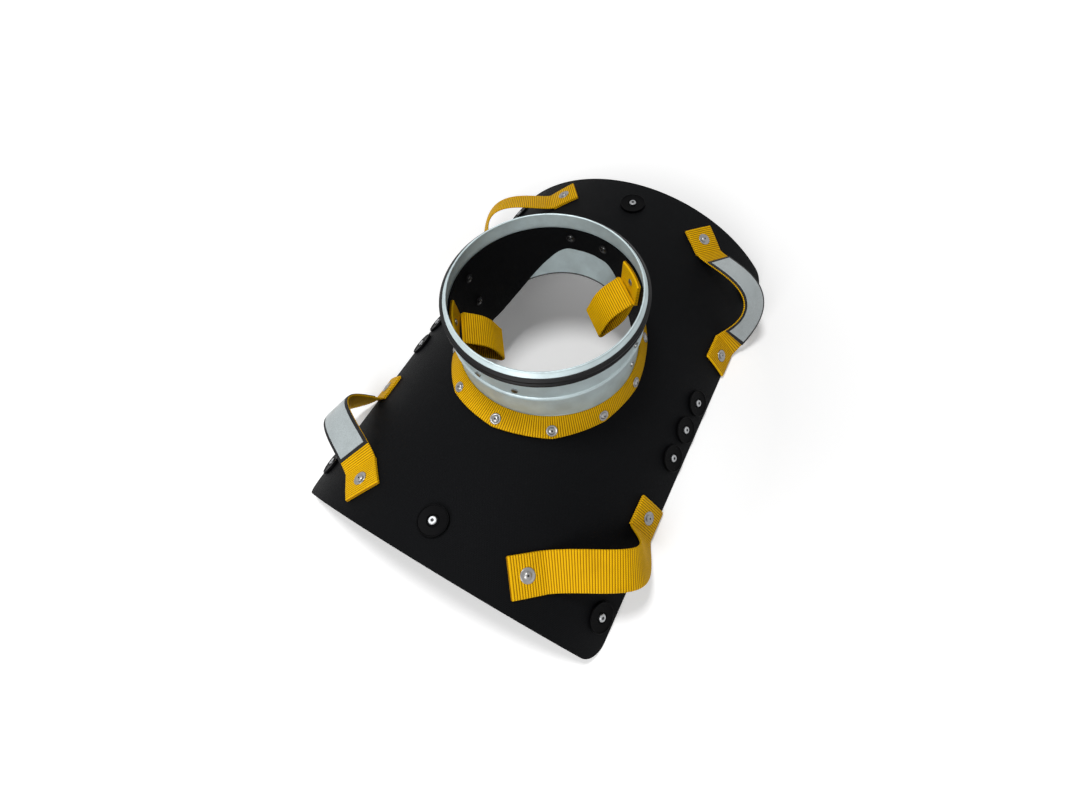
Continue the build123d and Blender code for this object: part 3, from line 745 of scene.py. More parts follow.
def panel_finish(scene):
    """Pale reflective film: tiny cells under a smooth face, with soft handling marks."""
    finish = Finish("Reflective panel", specular_ior_level=0.5, coat_weight=0.25, coat_roughness=0.25)
    vector = finish.weave_vector()
    cells = finish.cells(vector, 1400.0)
    marks = finish.noise(vector, 45.0, detail=5.0, roughness=0.6)
    bright, plain, worn = (shaded(scene.hood_patch.colour, share) for share in (1.12, 0.80, 0.72))
    tint = finish.mix(finish.between(cells, 0.2, 0.7), bright, plain)
    tint = finish.mix(finish.between(marks, 0.5, 0.85), tint, worn)
    relief = finish.bump(cells, depth=0.00005, strength=0.5)
    return finish.done(tint, finish.spread(marks, 0.28, 0.45), relief)


# ---- webbing --------------------------------------------------------------------------------------
def band_section(width, low, high, count, ribbed):
    """Points round a band's section: across, height and how much a rib lifts each."""
    radius = (high - low) / 2
    middle = (high + low) / 2
    reach = width / 2 - radius
    flat = np.linspace(-reach, reach, count)
    rows = []
    for side, face, line in ((1.0, high, flat), (-1.0, low, flat[::-1])):
        rows += [(v, face, side) for v in line]
        for bend in np.radians((55, 0, -55)):
            out, up = radius * math.cos(bend), radius * math.sin(bend)
            rows.append((side * (reach + out), middle + side * up, side * EDGE_RIB * math.sin(bend)))
    section = np.array(rows)
    section[:, 2] *= ribbed
    return section


def band(name, stations, section, place, closed=False):
    """Band of webbing: one ring of points per station, set by place(index, across, height)."""
    points = []
    weave = []
    for index, (distance, lift) in enumerate(stations):
        points.append(place(index, section[:, 0], section[:, 1] + lift * section[:, 2]))
        weave.append(np.column_stack((np.full(len(section), distance), section[:, 0])))
    count = len(section)
    rings = len(stations)
    faces = []
    for ring in range(rings if closed else rings - 1):
        after = (ring + 1) % rings
        for i in range(count):
            j = (i + 1) % count
            faces.append((ring * count + i, ring * count + j, after * count + j, after * count + i))
    if not closed:
        faces.append(tuple(range(count)))
        faces.append(tuple(range(rings * count - 1, (rings - 1) * count - 1, -1)))
    piece = from_points(name, np.concatenate(points), faces, np.concatenate(weave))
    return smooth(outward_normals(piece), 50)


def ribs(distances, pitch, height):
    """Stations of a band: each distance along it, and how much its rib stands up there."""
    return [(d, height * (abs(math.cos(math.pi * d / pitch)) - RIB_SINK)) for d in distances]


def unit_rows(rows):
    return rows / np.linalg.norm(rows, axis=1)[:, None]


def lengths_along(points):
    """Distance of each point of a line from its first one."""
    steps = np.linalg.norm(np.diff(points, axis=0), axis=1)
    return np.concatenate(([0.0], np.cumsum(steps)))


def even_steps(first, last, step):
    """Distances from first to last, on whole multiples of the step between them."""
    inner = np.arange(math.ceil(first / step + 1e-6), math.floor(last / step - 1e-6) + 1) * step
    return np.concatenate(([first], inner, [last]))


def resampled(line, step):
    """A flat line at even steps: the distances, and the place and the way ahead at each."""
    lengths = lengths_along(line)
    distances = even_steps(0.0, lengths[-1], step)
    places = np.column_stack([np.interp(distances, lengths, column) for column in line.T])
    return distances, places, unit_rows(np.gradient(places, axis=0))


class HandlePath:
    """Middle line of the right near handle, from the inner tab's lower ply to the outer one's."""

    def __init__(self, scene):
        self.scene = scene
        self.radius = arch_radius(scene)
        sizes = scene.hood_webbing
        tab, thick = sizes.tab, sizes.thickness
        self.tab_lift = SEAT_GAP + 1.5 * thick
        inner_way = np.array((math.cos(INNER_TURN), math.sin(INNER_TURN)))
        outer_way = np.array((0.0, 1.0))
        start = np.array(INNER_TAB) + tab / 2 * inner_way
        end = np.array(OUTER_TAB) - tab / 2 * outer_way
        run = np.linalg.norm(end - start)
        self.curve = (start, start + INNER_PULL * run * inner_way, end - OUTER_PULL * run * outer_way, end)
        plies = self.tab_profile(tab, thick)
        shares = np.linspace(0, 1, STRAP_STEPS)[1:-1]
        self.shares = np.concatenate((np.zeros(len(plies)), shares, np.ones(len(plies))))
        rows = (
            self.tab_rows(INNER_TAB, INNER_TURN, plies, 1),
            self.strap_rows(shares),
            self.tab_rows(OUTER_TAB, OUTER_TURN, plies, -1)[::-1],
        )
        self.build(np.concatenate(rows))

    def tab_profile(self, tab, thick):
        """(distance from the tab's middle, height) along the lower ply, the fold and the upper ply."""
        fold_at = -tab / 2 + thick
        low, high = SEAT_GAP + thick / 2, SEAT_GAP + 1.5 * thick
        middle, radius = (low + high) / 2, thick / 2
        lower = [(u, low) for u in np.linspace(tab / 2, fold_at, PLY_STEPS)]
        turns = np.linspace(0, math.pi, 12)[1:-1]
        fold = [(fold_at - radius * math.sin(a), middle - radius * math.cos(a)) for a in turns]
        upper = [(u, high) for u in np.linspace(fold_at, tab / 2, PLY_STEPS)]
        return np.array(lower + fold + upper)

    def tab_rows(self, middle, turn, plies, sense):
        """Rows of (s, y, lift, across s, across y, sag) on one tab."""
        along = np.array((math.cos(turn), math.sin(turn)))
        rows = []
        for distance, height in plies:
            spot = np.array(middle) + sense * distance * along
            rows.append((*spot, height, along[1], -along[0], 1.0))
        return np.array(rows)

    def strap_rows(self, shares):
        """The same rows along the standing strap, at shares of its curve."""
        rows = []
        for t in shares:
            u = 1 - t
            weights = (u**3, 3 * t * u**2, 3 * t * t * u, t**3)
            slopes = (-3 * u**2, 3 * u**2 - 6 * t * u, 6 * t * u - 3 * t * t, 3 * t * t)
            spot = sum(w * p for w, p in zip(weights, self.curve))
            ahead = sum(w * p for w, p in zip(slopes, self.curve))
            ahead = ahead / np.linalg.norm(ahead)
            lift = self.tab_lift + self.scene.hood_webbing.rise * math.sin(math.pi * t) ** RISE_POWER
            sag = max(0.0, 1 - min(t, u) / SAG_SHARE)
            rows.append((*spot, lift, ahead[1], -ahead[0], sag))
        return np.array(rows)

    def build(self, flat):
        """Bends the flat rows to the arch and measures the distance along them."""
        turn = flat[:, 0] / self.scene.hood_sheet.arch
        zero = np.zeros_like(turn)
        outward = np.column_stack((np.sin(turn), zero, np.cos(turn)))
        across = np.column_stack((np.cos(turn), zero, -np.sin(turn))) * flat[:, 3:4]
        across[:, 1] += flat[:, 4]
        middle = outward * (self.radius + flat[:, 2:3])
        middle[:, 1] = flat[:, 1]
        middle[:, 2] += CROWN - self.radius
        ahead = unit_rows(np.gradient(middle, axis=0))
        across = unit_rows(across - ahead * np.sum(across * ahead, axis=1)[:, None])
        self.rows = np.concatenate((middle, across, outward, flat[:, 5:6], self.shares[:, None]), axis=1)
        self.distance = lengths_along(middle)

    def sampled(self, distances):
        columns = [np.interp(distances, self.distance, column) for column in self.rows.T]
        rows = np.column_stack(columns)
        rows[:, 3:6] = unit_rows(rows[:, 3:6])
        return rows

    def at_share(self, share):
        """Distance along the path where the standing strap reaches a share of its curve."""
        low = np.searchsorted(self.shares, 1e-9)
        high = np.searchsorted(self.shares, 1 - 1e-9)
        return float(np.interp(share, self.shares[low:high], self.distance[low:high]))

    def hinges(self):
        """The two hinge points, each given by two ends that lie half a blend's length to either side of it.
        """
        share = math.asin((HINGE_RISE / self.scene.hood_webbing.rise) ** (1 / RISE_POWER)) / math.pi
        inner, outer = (self.sampled([self.at_share(s)])[0, :3] for s in (share, 1 - share))
        axis = (outer - inner) / np.linalg.norm(outer - inner) * BLEND_HALF
        return (inner - axis, inner + axis), (outer + axis, outer - axis)

    def placer(self, distances, signs):
        """place(index, across, height) for a band that follows the path, mirrored by signs."""
        rows = self.sampled(distances)
        ahead = unit_rows(np.gradient(rows[:, :3], axis=0))
        mirror = np.array((*signs, 1))

        def place(index, across, height):
            middle, side, outward, sag = rows[index, :3], rows[index, 3:6], rows[index, 6:9], rows[index, 9]
            up = np.cross(side, ahead[index])
            drop = (across * math.hypot(side[0], side[2])) ** 2 / (2 * self.radius) * sag
            spot = middle + across[:, None] * side + height[:, None] * up - drop[:, None] * outward
            return spot * mirror

        return place


def mirrored(points, signs):
    return [Vector((point[0] * signs[0], point[1] * signs[1], point[2])) for point in points]


def lay_on_handles(path, quadrants, name, halves, rib, section, finish, slot, *nodes):
    """Lays a band on handles in two halves, each with its own hinge point."""
    hinges = dict(zip(halves, path.hinges()))
    for quadrant in quadrants:
        signs = QUADRANTS[quadrant]
        replaced = [f"{node}_{quadrant}" for node in nodes]
        for half, distances in halves.items():
            place = path.placer(distances, signs)
            piece = band(f"{name}_{quadrant}_{half}", ribs(distances, *rib), section, place)
            hinge = mirrored(hinges[half], signs)
            settle(piece, finish, f"grip_{quadrant}", slot, *replaced, hinge=hinge)


# ---- operators ------------------------------------------------------------------------------------
class HOOD_OT_sheet(Operator):
    """Cut the sheet flat with its round corners and duct hole, then bend it to the arch"""

    bl_idname = "hood.sheet"
    bl_label = "Sheet"

    def execute(self, context):
        scene = context.scene
        sizes = scene.hood_sheet
        deselect()
        across, along = GRID_STEPS
        bpy.ops.mesh.primitive_grid_add(x_subdivisions=across, y_subdivisions=along, size=1)
        piece = context.object
        piece.name = piece.data.name = "flexible_sheet"
        piece.scale = (sizes.width, sizes.length, 1)
        bpy.ops.object.transform_apply(location=False, rotation=False, scale=True)
        apply_modifier(piece, "SOLIDIFY", thickness=sizes.thickness, offset=-1)
        self.trim(piece, self.blank(scene), "INTERSECT")
        self.trim(piece, self.plug(scene), "DIFFERENCE")
        self.mark_edges(scene, piece)
        self.bend(scene, piece)
        smooth(piece, 40)
        cut_area = sizes.width * sizes.length - (4 - math.pi) * sizes.corner**2
        cut_area -= math.pi * sizes.hole_across * sizes.hole_along
        settle(piece, None, "hood", "coated_fabric", "sheet")
        return {"FINISHED"}

    def blank(self, scene):
        """Block with the sheet's round corners."""
        sizes = scene.hood_sheet
        deselect()
        bpy.ops.mesh.primitive_plane_add(size=1, location=(0, 0, -2 * sizes.thickness))
        block = bpy.context.object
        block.scale = (sizes.width, sizes.length, 1)
        bpy.ops.object.transform_apply(location=True, rotation=False, scale=True)
        bpy.ops.object.mode_set(mode="EDIT")
        bpy.ops.mesh.select_all(action="SELECT")
        bpy.ops.mesh.bevel(offset=sizes.corner, segments=12, affect="VERTICES")
        bpy.ops.mesh.select_all(action="SELECT")
        rise = {"value": (0, 0, 4 * sizes.thickness)}
        bpy.ops.mesh.extrude_region_move(TRANSFORM_OT_translate=rise)
        bpy.ops.mesh.select_all(action="SELECT")
        bpy.ops.mesh.normals_make_consistent(inside=False)
        bpy.ops.object.mode_set(mode="OBJECT")
        return block

    def plug(self, scene):
        """Oval plug with the duct hole's shape."""
        sizes = scene.hood_sheet
        deselect()
        bpy.ops.mesh.primitive_cylinder_add(vertices=192, radius=1, depth=4 * sizes.thickness)
        plug = bpy.context.object
        plug.scale = (sizes.hole_across, sizes.hole_along, 1)
        bpy.ops.object.transform_apply(location=False, rotation=False, scale=True)
        return plug

    def trim(self, piece, cutter, operation):
        apply_modifier(piece, "BOOLEAN", operation=operation, object=cutter, solver="EXACT")
        bpy.data.objects.remove(cutter)

    def mark_edges(self, scene, piece):
        """Gives the cut edges their own finish and every face its place in the weave."""
        sizes = scene.hood_sheet
        mesh = piece.data
        mesh.materials.clear()
        mesh.materials.append(coated_weave("Coated sheet", sizes.colour, sizes.bloom, sizes.weave))
        mesh.materials.append(cut_edge_finish(scene))
        while mesh.uv_layers:
            mesh.uv_layers.remove(mesh.uv_layers[0])
        layer = mesh.uv_layers.new(name=UV_NAME)
        for polygon in mesh.polygons:
            polygon.material_index = 0 if abs(polygon.normal.z) > 0.5 else 1
            for corner in polygon.loop_indices:
                place = mesh.vertices[mesh.loops[corner].vertex_index].co
                layer.data[corner].uv = (place.x, place.y)

    def bend(self, scene, piece):
        """Bends the flat sheet to the arch, with a slight unevenness."""
        sizes = scene.hood_sheet
        for vertex in piece.data.vertices:
            s, y, depth = vertex.co
            wave = noise.noise(Vector((s * RIPPLE_SCALE, y * RIPPLE_SCALE, 0)))
            wave += 0.4 * noise.noise(Vector((s * FINE_RIPPLE_SCALE, y * FINE_RIPPLE_SCALE, 3)))
            lift = depth - sizes.ripple * (0.5 + 0.5 * max(-1.0, min(1.0, wave)))
            vertex.co = on_sheet(scene, s, y, lift).translation


class HOOD_OT_spigot(Operator):
    """Finish the duct spigot in galvanised steel and its lip seal in black rubber"""

    bl_idname = "hood.spigot"
    bl_label = "Spigot and seal"

    def execute(self, context):
        colour = context.scene.hood_steel.zinc
        zinc = metal_finish(
            "Galvanised steel", colour, (0.32, 0.50), stretch=(1, 1, 60), spangle=70.0, shine=0.3
        )
        finish_node("spigot", zinc)
        finish_node("lip_seal", moulded_finish("Seal rubber", SEAL_BLACK, (0.40, 0.55)))
        return {"FINISHED"}


class HOOD_OT_lining(Operator):
    """Sew the lining sleeve with its two tongues, its scallops and its puckers"""

    bl_idname = "hood.lining"
    bl_label = "Lining sleeve"

    def execute(self, context):
        scene = context.scene
        sizes = scene.hood_lining
        around, rows = LINING_STEPS
        turns = [2 * math.pi * i / around for i in range(around)]
        points, weave = [], []
        for depth in (0.0, sizes.thickness):
            for turn in turns:
                low = self.lower_edge(scene, turn)
                high = CROWN + sizes.top
                for row in range(rows + 1):
                    z = low + (high - low) * row / rows
                    radius = lining_radius(scene, turn, z, depth) - self.pucker(scene, turn, z)
                    points.append((radius * math.cos(turn), radius * math.sin(turn), z))
                    weave.append((turn * sizes.radius, z))
        layer = around * (rows + 1)
        faces = []
        for i in range(around):
            here, there = i * (rows + 1), (i + 1) % around * (rows + 1)
            for row in range(rows):
                quad = (here + row, there + row, there + row + 1, here + row + 1)
                faces.append(quad)
                faces.append(tuple(layer + corner for corner in reversed(quad)))
            faces.append((here, layer + here, layer + there, there))
            faces.append((here + rows, there + rows, layer + there + rows, layer + here + rows))
        piece = smooth(outward_normals(from_points("lining_cloth", points, faces, weave)), 60)
        cloth = coated_weave("Lining cloth", sizes.colour, LINING_HIGHLIGHT, pitch=0.0011, roughness=0.55)
        settle(piece, cloth, "hood", "lining_fabric", "lining_sleeve")
        self.cut_area(scene, turns)
        return {"FINISHED"}

    def lower_edge(self, scene, turn):
        """Height of the sleeve's lower edge: tongues at the two sides, scallops between them."""
        sizes = scene.hood_lining
        inner, outer = TONGUE_FROM * sizes.radius, TONGUE_TO * sizes.radius
        share = (abs(sizes.radius * math.cos(turn)) - inner) / (outer - inner)
        share = max(0.0, min(1.0, share))
        return CROWN + sizes.short - (sizes.short + sizes.tongue) * share * share * (3 - 2 * share)

    def pucker(self, scene, turn, z):
        """Small waves that fade at the sleeve's top and under the loops' bases."""
        sizes = scene.hood_lining
        wave = noise.noise(Vector((math.cos(turn) * 5, math.sin(turn) * 5, z * 9)))
        fine = noise.noise(Vector((math.cos(turn) * 16, math.sin(turn) * 16, z * 30)))
        fade = min(1.0, (CROWN + sizes.top - z) / PUCKER_FADE)
        for angle in LOOPS.values():
            fade *= min(1.0, max(0.0, angle_between(turn, angle) / BASE_CLEAR - BASE_SHARE))
        return sizes.pucker * fade * max(0.0, 0.5 + wave + 0.5 * fine)

    def cut_area(self, scene, turns):
        """Area of the cloth's cut, from its height at each angle."""
        heights = [CROWN + scene.hood_lining.top - self.lower_edge(scene, turn) for turn in turns]
        return sum(heights) / len(heights) * scene.hood_lining.flat_width


class HOOD_OT_collar(Operator):
    """Weave the webbing collar that turns round the spigot's foot"""

    bl_idname = "hood.collar"
    bl_label = "Collar"

    def execute(self, context):
        scene = context.scene
        sizes = scene.hood_webbing
        middle = scene.hood_steel.spigot + sizes.collar_width / 2
        count = round(2 * math.pi * middle / sizes.collar_pitch) * RIB_STEPS
        step = 2 * math.pi * middle / count
        pitch = step * RIB_STEPS
        section = band_section(sizes.collar_width, 0.0, sizes.thickness, 10, 1.0)
        stations = ribs([i * step for i in range(count)], pitch, sizes.rib)
        rows = []
        for i in range(count):
            turn = 2 * math.pi * i / count
            rows.append((turn, *collar_line(scene, turn, SEAT_GAP, FLANGE + SEAT_GAP)))
        sector = 2 * math.pi / scene.hood_steel.collar_rivets

        def place(index, across, height):
            turn, upper, lower = rows[index]
            down = (lower - upper) / np.linalg.norm(lower - upper)
            outward = np.array((-down[1], down[0]))
            off = abs((turn + sector / 2) % sector - sector / 2) / (sector / 2)
            reach = np.linalg.norm(lower - upper) - sizes.scallop * (1 - (1 - off) ** 2)
            share = (across / sizes.collar_width + 0.5) * reach
            flat = upper + share[:, None] * down + height[:, None] * outward
            radius, z = flat.T
            return np.column_stack((radius * math.cos(turn), radius * math.sin(turn), z))

        piece = band("collar_webbing", stations, section, place, closed=True)
        finish = webbing_finish(scene, "Collar webbing", pitch)
        settle(piece, finish, "hood", "webbing", "ring_strap")
        return {"FINISHED"}


def cup_washer(name, scene, radius):
    """Cup washer: a rounded rim, a shallow dish in its second, darker finish of painted shade and a raised
    lip round its hole.
    """
    sizes = scene.hood_steel
    high, hole = sizes.washer_height, sizes.washer_hole
    corners = [
        (radius * share - inset, high * rise + lift, rounding)
        for share, inset, rise, lift, rounding in WASHER_SECTION
    ]
    corners = [(hole, 0.0, 0), *corners, (hole, high * WASHER_LIP, 0)]
    washer = turned(name, rounded(corners, WASHER_ROUND), 40)
    for polygon in washer.data.polygons:
        across = math.hypot(polygon.center.x, polygon.center.y)
        in_shaded_dish = radius * DISH_FROM < across < radius - DISH_MARGIN
        polygon.material_index = int(in_shaded_dish and polygon.center.z > high / 4)
    return washer


def core(radius):
    """Plain disc that closes a rivet's hole or a screw's socket."""
    outline = [(0, 0), (radius, 0), (radius, CORE_THICKNESS), (0, CORE_THICKNESS)]
    return turned("core", outline, 24)


class HOOD_OT_collar_washers(Operator):
    """Set a cup washer under each collar rivet and finish the rivets"""

    bl_idname = "hood.collar_washers"
    bl_label = "Collar washers"

    def execute(self, context):
        scene = context.scene
        pattern = cup_washer("collar_washer", scene, scene.hood_steel.collar_washer)
        piece = smooth(repeated("collar_cup_washers", pattern, collar_frames(scene, SOFT_GAP)), 45)
        bright = metal_finish("Rivet metal", scene.hood_steel.rivet, (0.22, 0.42), dull=0.7)
        # Painted shade: the dish finish is dark to stand for the shade inside the washers' dish
        dish = metal_finish("Washer dish", scene.hood_steel.dish, (0.30, 0.50), dull=0.6)
        settle(piece, (bright, dish), "hood", "rivet_metal", "ring_rivet_washers")
        for name in ("ring_rivets", "ring_back_washers", "handle_back_washers", "loop_rivets"):
            finish_node(name, bright)
        return {"FINISHED"}


class HOOD_OT_handles(Operator):
    """Weave the four handles, each in two halves that meet at the handle's middle"""

    bl_idname = "hood.handles"
    bl_label = "Handles"

    def execute(self, context):
        scene = context.scene
        sizes = scene.hood_webbing
        path = HandlePath(scene)
        pitch = sizes.handle_pitch
        section = band_section(sizes.handle_width, -sizes.thickness / 2, sizes.thickness / 2, 20, 1.0)
        middle = round(path.at_share(0.5) / pitch - 0.5) * pitch + pitch / 2
        halves = {
            "inner": even_steps(0.0, middle, pitch / RIB_STEPS),
            "outer": even_steps(middle, path.distance[-1], pitch / RIB_STEPS),
        }
        finish = webbing_finish(scene, "Handle webbing", pitch)
        rib = (pitch, sizes.rib)
        nodes = ("handle_ends", "handle_grip")
        lay_on_handles(path, QUADRANTS, "handle", halves, rib, section, finish, "webbing", *nodes)
        return {"FINISHED"}


class HOOD_OT_patches(Operator):
    """Lay the black backing and the pale panel on two of the handles"""

    bl_idname = "hood.patches"
    bl_label = "Patches"

    def execute(self, context):
        scene = context.scene
        sizes, webbing = scene.hood_patch, scene.hood_webbing
        path = HandlePath(scene)
        base = webbing.thickness / 2 + SEAT_GAP
        first, middle, last = (path.at_share(share) for share in (sizes.first, 0.5, sizes.last))
        black = moulded_finish("Patch backing", sizes.black, (0.5, 0.7), grain=500.0, depth=0.0001)
        pale = panel_finish(scene)
        layers = (
            ("backing", sizes.backing, 0.0, black, "patch_fabric", "patch_backing"),
            ("panel", sizes.panel, sizes.border, pale, "reflective_film", "reflective_patch"),
        )
        no_rib = (webbing.handle_pitch, 0.0)
        for name, thick, inset, finish, slot, node in layers:
            section = band_section(webbing.handle_width - 2 * inset, base, base + thick, 24, 0.0)
            halves = {
                "inner": even_steps(first + inset, middle, PATCH_STEP),
                "outer": even_steps(middle, last - inset, PATCH_STEP),
            }
            lay_on_handles(path, PATCHED, f"patch_{name}", halves, no_rib, section, finish, slot, node)
            base = base + sizes.backing + SEAT_GAP
        return {"FINISHED"}


class HOOD_OT_handle_washers(Operator):
    """Set a cup washer under each handle rivet and finish the rivets"""

    bl_idname = "hood.handle_washers"
    bl_label = "Handle washers"

    def execute(self, context):
        scene = context.scene
        lift = 2 * SEAT_GAP + 2 * scene.hood_webbing.thickness
        pattern = cup_washer("handle_washer", scene, scene.hood_steel.handle_washer)
        piece = smooth(repeated("handle_cup_washers", pattern, tab_frames(scene, lift)), 45)
        bright = bpy.data.materials["Rivet metal"]
        dish = bpy.data.materials["Washer dish"]
        settle(piece, (bright, dish), "hood", "rivet_metal", "handle_rivet_washers")
        finish_node("handle_rivets", bright)
        return {"FINISHED"}


class HOOD_OT_stubs(Operator):
    """Set the dark stubs in the rivets' hollows, whose darkness is partly painted shade, and dark discs of
    painted shade on the floors of the screws' sockets
    """

    bl_idname = "hood.stubs"
    bl_label = "Stubs"

    def execute(self, context):
        scene = context.scene
        # Painted shade: one dark steel finish darkens the rivets' stubs and the sockets' floors to stand
        # for the shade in these hollows
        dark = metal_finish("Stub steel and hollow shade", scene.hood_steel.stub_and_hollow_shade, (0.35, 0.55), dull=0.6)
        handle_lift = 2 * SEAT_GAP + 2 * scene.hood_webbing.thickness + WASHER + RIVET_HOLLOW
        stubs = tab_frames(scene, handle_lift) + collar_frames(scene, SOFT_GAP + WASHER + RIVET_HOLLOW)
        floor = Matrix.Translation((0, 0, SOCKET_FLOOR))
        sockets = [place @ floor for place in disc_frames(scene)]
        for name, radius, frames in (
            ("rivet_stubs", STUB_RADIUS, stubs),
            ("socket_shade_discs", SOCKET_RADIUS, sockets),
        ):
            settle(smooth(repeated(name, core(radius), frames)), dark, "hood", "rivet_metal")
        return {"FINISHED"}


class HOOD_OT_inner_loops(Operator):
    """Weave the two pull loops inside the spigot and their sewn bases"""

    bl_idname = "hood.inner_loops"
    bl_label = "Inner loops"

    def execute(self, context):
        scene = context.scene
        finish = webbing_finish(scene, "Loop webbing", scene.hood_webbing.collar_pitch)
        for name, angle in LOOPS.items():
            self.weave_loop(scene, name, angle, finish)
            self.weave_base(scene, name, angle, finish)
        return {"FINISHED"}

    def weave_loop(self, scene, name, angle, finish):
        """Webbing turned back on itself in a narrow drop, from a level root on the wall."""
        sizes = scene.hood_webbing
        root = sizes.thickness / 2 + SEAT_GAP
        side = self.drop_side(root)
        fold_at = LOOP_LENGTH - LOOP_FOLD
        turns = np.linspace(math.pi / 2, -math.pi / 2, 14)[1:-1]
        fold = [(fold_at + LOOP_FOLD * math.cos(t), LOOP_FOLD * math.sin(t)) for t in turns]
        line = np.array([*side, *fold, *[(x, -y) for x, y in side[::-1]]])
        distances, middle, ahead = resampled(line, sizes.collar_pitch / RIB_STEPS)
        inward = np.array((-math.cos(angle), -math.sin(angle), 0.0))
        up = np.array((0.0, 0.0, 1.0))
        around = np.array((-math.sin(angle), math.cos(angle), 0.0))
        out = inward * math.cos(LOOP_DROOP) - up * math.sin(LOOP_DROOP)
        side_way = np.cross(around, out)
        root_at = up * (CROWN + LOOP_ROOT) - inward * self.root_reach(scene, angle)

        def place(index, across, height):
            x, y = middle[index]
            dx, dy = ahead[index]
            flat = root_at + (x - height[:, None] * dy) * out + (y + height[:, None] * dx) * side_way
            return flat + across[:, None] * around

        section = band_section(LOOP_WIDTH, -sizes.thickness / 2, sizes.thickness / 2, 16, 1.0)
        stations = ribs(distances, sizes.collar_pitch, sizes.rib)
        piece = band(f"pull_loop_{name}", stations, section, place)
        settle(piece, finish, f"loop_{name}", "webbing", f"inner_loop_{name}")

    def root_reach(self, scene, angle):
        """Distance of the loop's straight root from the spigot's middle, clear of the curved base."""
        sizes = scene.hood_webbing
        depth = scene.hood_lining.thickness + SEAT_GAP + 2 * sizes.thickness
        half = LOOP_WIDTH / 2 / scene.hood_lining.radius
        ends = [lining_radius(scene, angle + turn, CROWN + LOOP_ROOT, depth) for turn in (-half, half)]
        return min(ends) * math.cos(half) - SOFT_GAP - sizes.thickness

    def drop_side(self, root):
        """One side of the drop, from its root to where the fold starts."""
        end = LOOP_LENGTH - LOOP_FOLD
        points = []
        for t in np.linspace(0, 1, 80):
            x = end * t
            swell = (LOOP_BULGE - (root + LOOP_FOLD) / 2) * math.sin(math.pi * t) ** LOOP_SWELL_POWER
            points.append((x, root + (LOOP_FOLD - root) * t + swell))
        return points

    def weave_base(self, scene, name, angle, finish):
        """Doubled webbing on the lining, behind the loop's root and folded at its top."""
        sizes = scene.hood_webbing
        radius = scene.hood_lining.radius
        depth = scene.hood_lining.thickness + SEAT_GAP
        thick = sizes.thickness
        low_z = CROWN + LOOP_ROOT - LOOP_BASE_LEAD
        fold_at, fold_r = LOOP_BASE_HEIGHT - thick, thick / 2
        outer, inner = depth + thick / 2, depth + 1.5 * thick
        turns = np.linspace(0, math.pi, 10)[1:-1]
        fold = [(fold_at + fold_r * math.sin(t), depth + thick - fold_r * math.cos(t)) for t in turns]
        rises = np.linspace(0.0, fold_at, 50), np.linspace(fold_at, 0.0, 50)
        line = np.array([*[(u, outer) for u in rises[0]], *fold, *[(u, inner) for u in rises[1]]])
        distances, middle, ahead = resampled(line, sizes.collar_pitch / RIB_STEPS)

        def place(index, across, height):
            u, inset = middle[index]
            du, dr = ahead[index]
            spots = []
            for v, n in zip(across, height):
                z = low_z + u - n * dr
                turn = angle - v / radius
                r = lining_radius(scene, turn, z, inset + n * du)
                spots.append((r * math.cos(turn), r * math.sin(turn), z))
            return np.array(spots)

        section = band_section(LOOP_WIDTH, -thick / 2, thick / 2, 16, 1.0)
        stations = ribs(distances, sizes.collar_pitch, sizes.rib)
        piece = band(f"pull_loop_base_{name}", stations, section, place)
        settle(piece, finish, "hood", "webbing", f"loop_base_{name}")


class HOOD_OT_eyelets(Operator):
    """Set the black eyelets under the lining's rivets"""

    bl_idname = "hood.eyelets"
    bl_label = "Eyelets"

    def execute(self, context):
        scene = context.scene
        lining = scene.hood_lining
        swing = math.asin(PAIR_PITCH / 2 / lining.radius)
        spots = [
            (middle + side * swing, PAIR_HEIGHT)
            for middle in (math.pi / 2, -math.pi / 2)
            for side in (1, -1)
        ]
        spots += [(middle, height) for middle in (0.0, math.pi) for height in SIDE_HEIGHTS]
        pattern = cup_washer("eyelet", scene, scene.hood_steel.eyelet)
        seat = SEAT_GAP + scene.hood_steel.eyelet**2 / (2 * lining.radius)
        frames = [
            wall_frame(scene, turn, CROWN + height, lining.thickness) @ Matrix.Translation((0, 0, seat))
            for turn, height in spots
        ]
        piece = smooth(repeated("lining_eyelets", pattern, frames), 45)
        black = moulded_finish("Black eyelet", EYELET_BLACK, (0.30, 0.45), depth=0.0, pale=1.5, gloss=0.2)
        settle(piece, black, "hood", "black_eyelet", "lining_rivet_washers")
        finish_node("lining_rivets", lining_rivet_finish(scene))
        return {"FINISHED"}


def disc_frames(scene):
    """Frames of the twelve clamp discs: one at each end, one in each corner, three along each side."""
    sheet, disc = scene.hood_sheet, scene.hood_disc
    side = sheet.width / 2 - disc.side_margin
    end = sheet.length / 2 - disc.end_margin
    corner = sheet.length / 2 - disc.corner_margin
    spots = [(0, -end), (0, end)]
    spots += [(s, y) for s in (-side, side) for y in (-corner, corner, -disc.pitch, 0, disc.pitch)]
    return [on_sheet(scene, s, y) for s, y in spots]


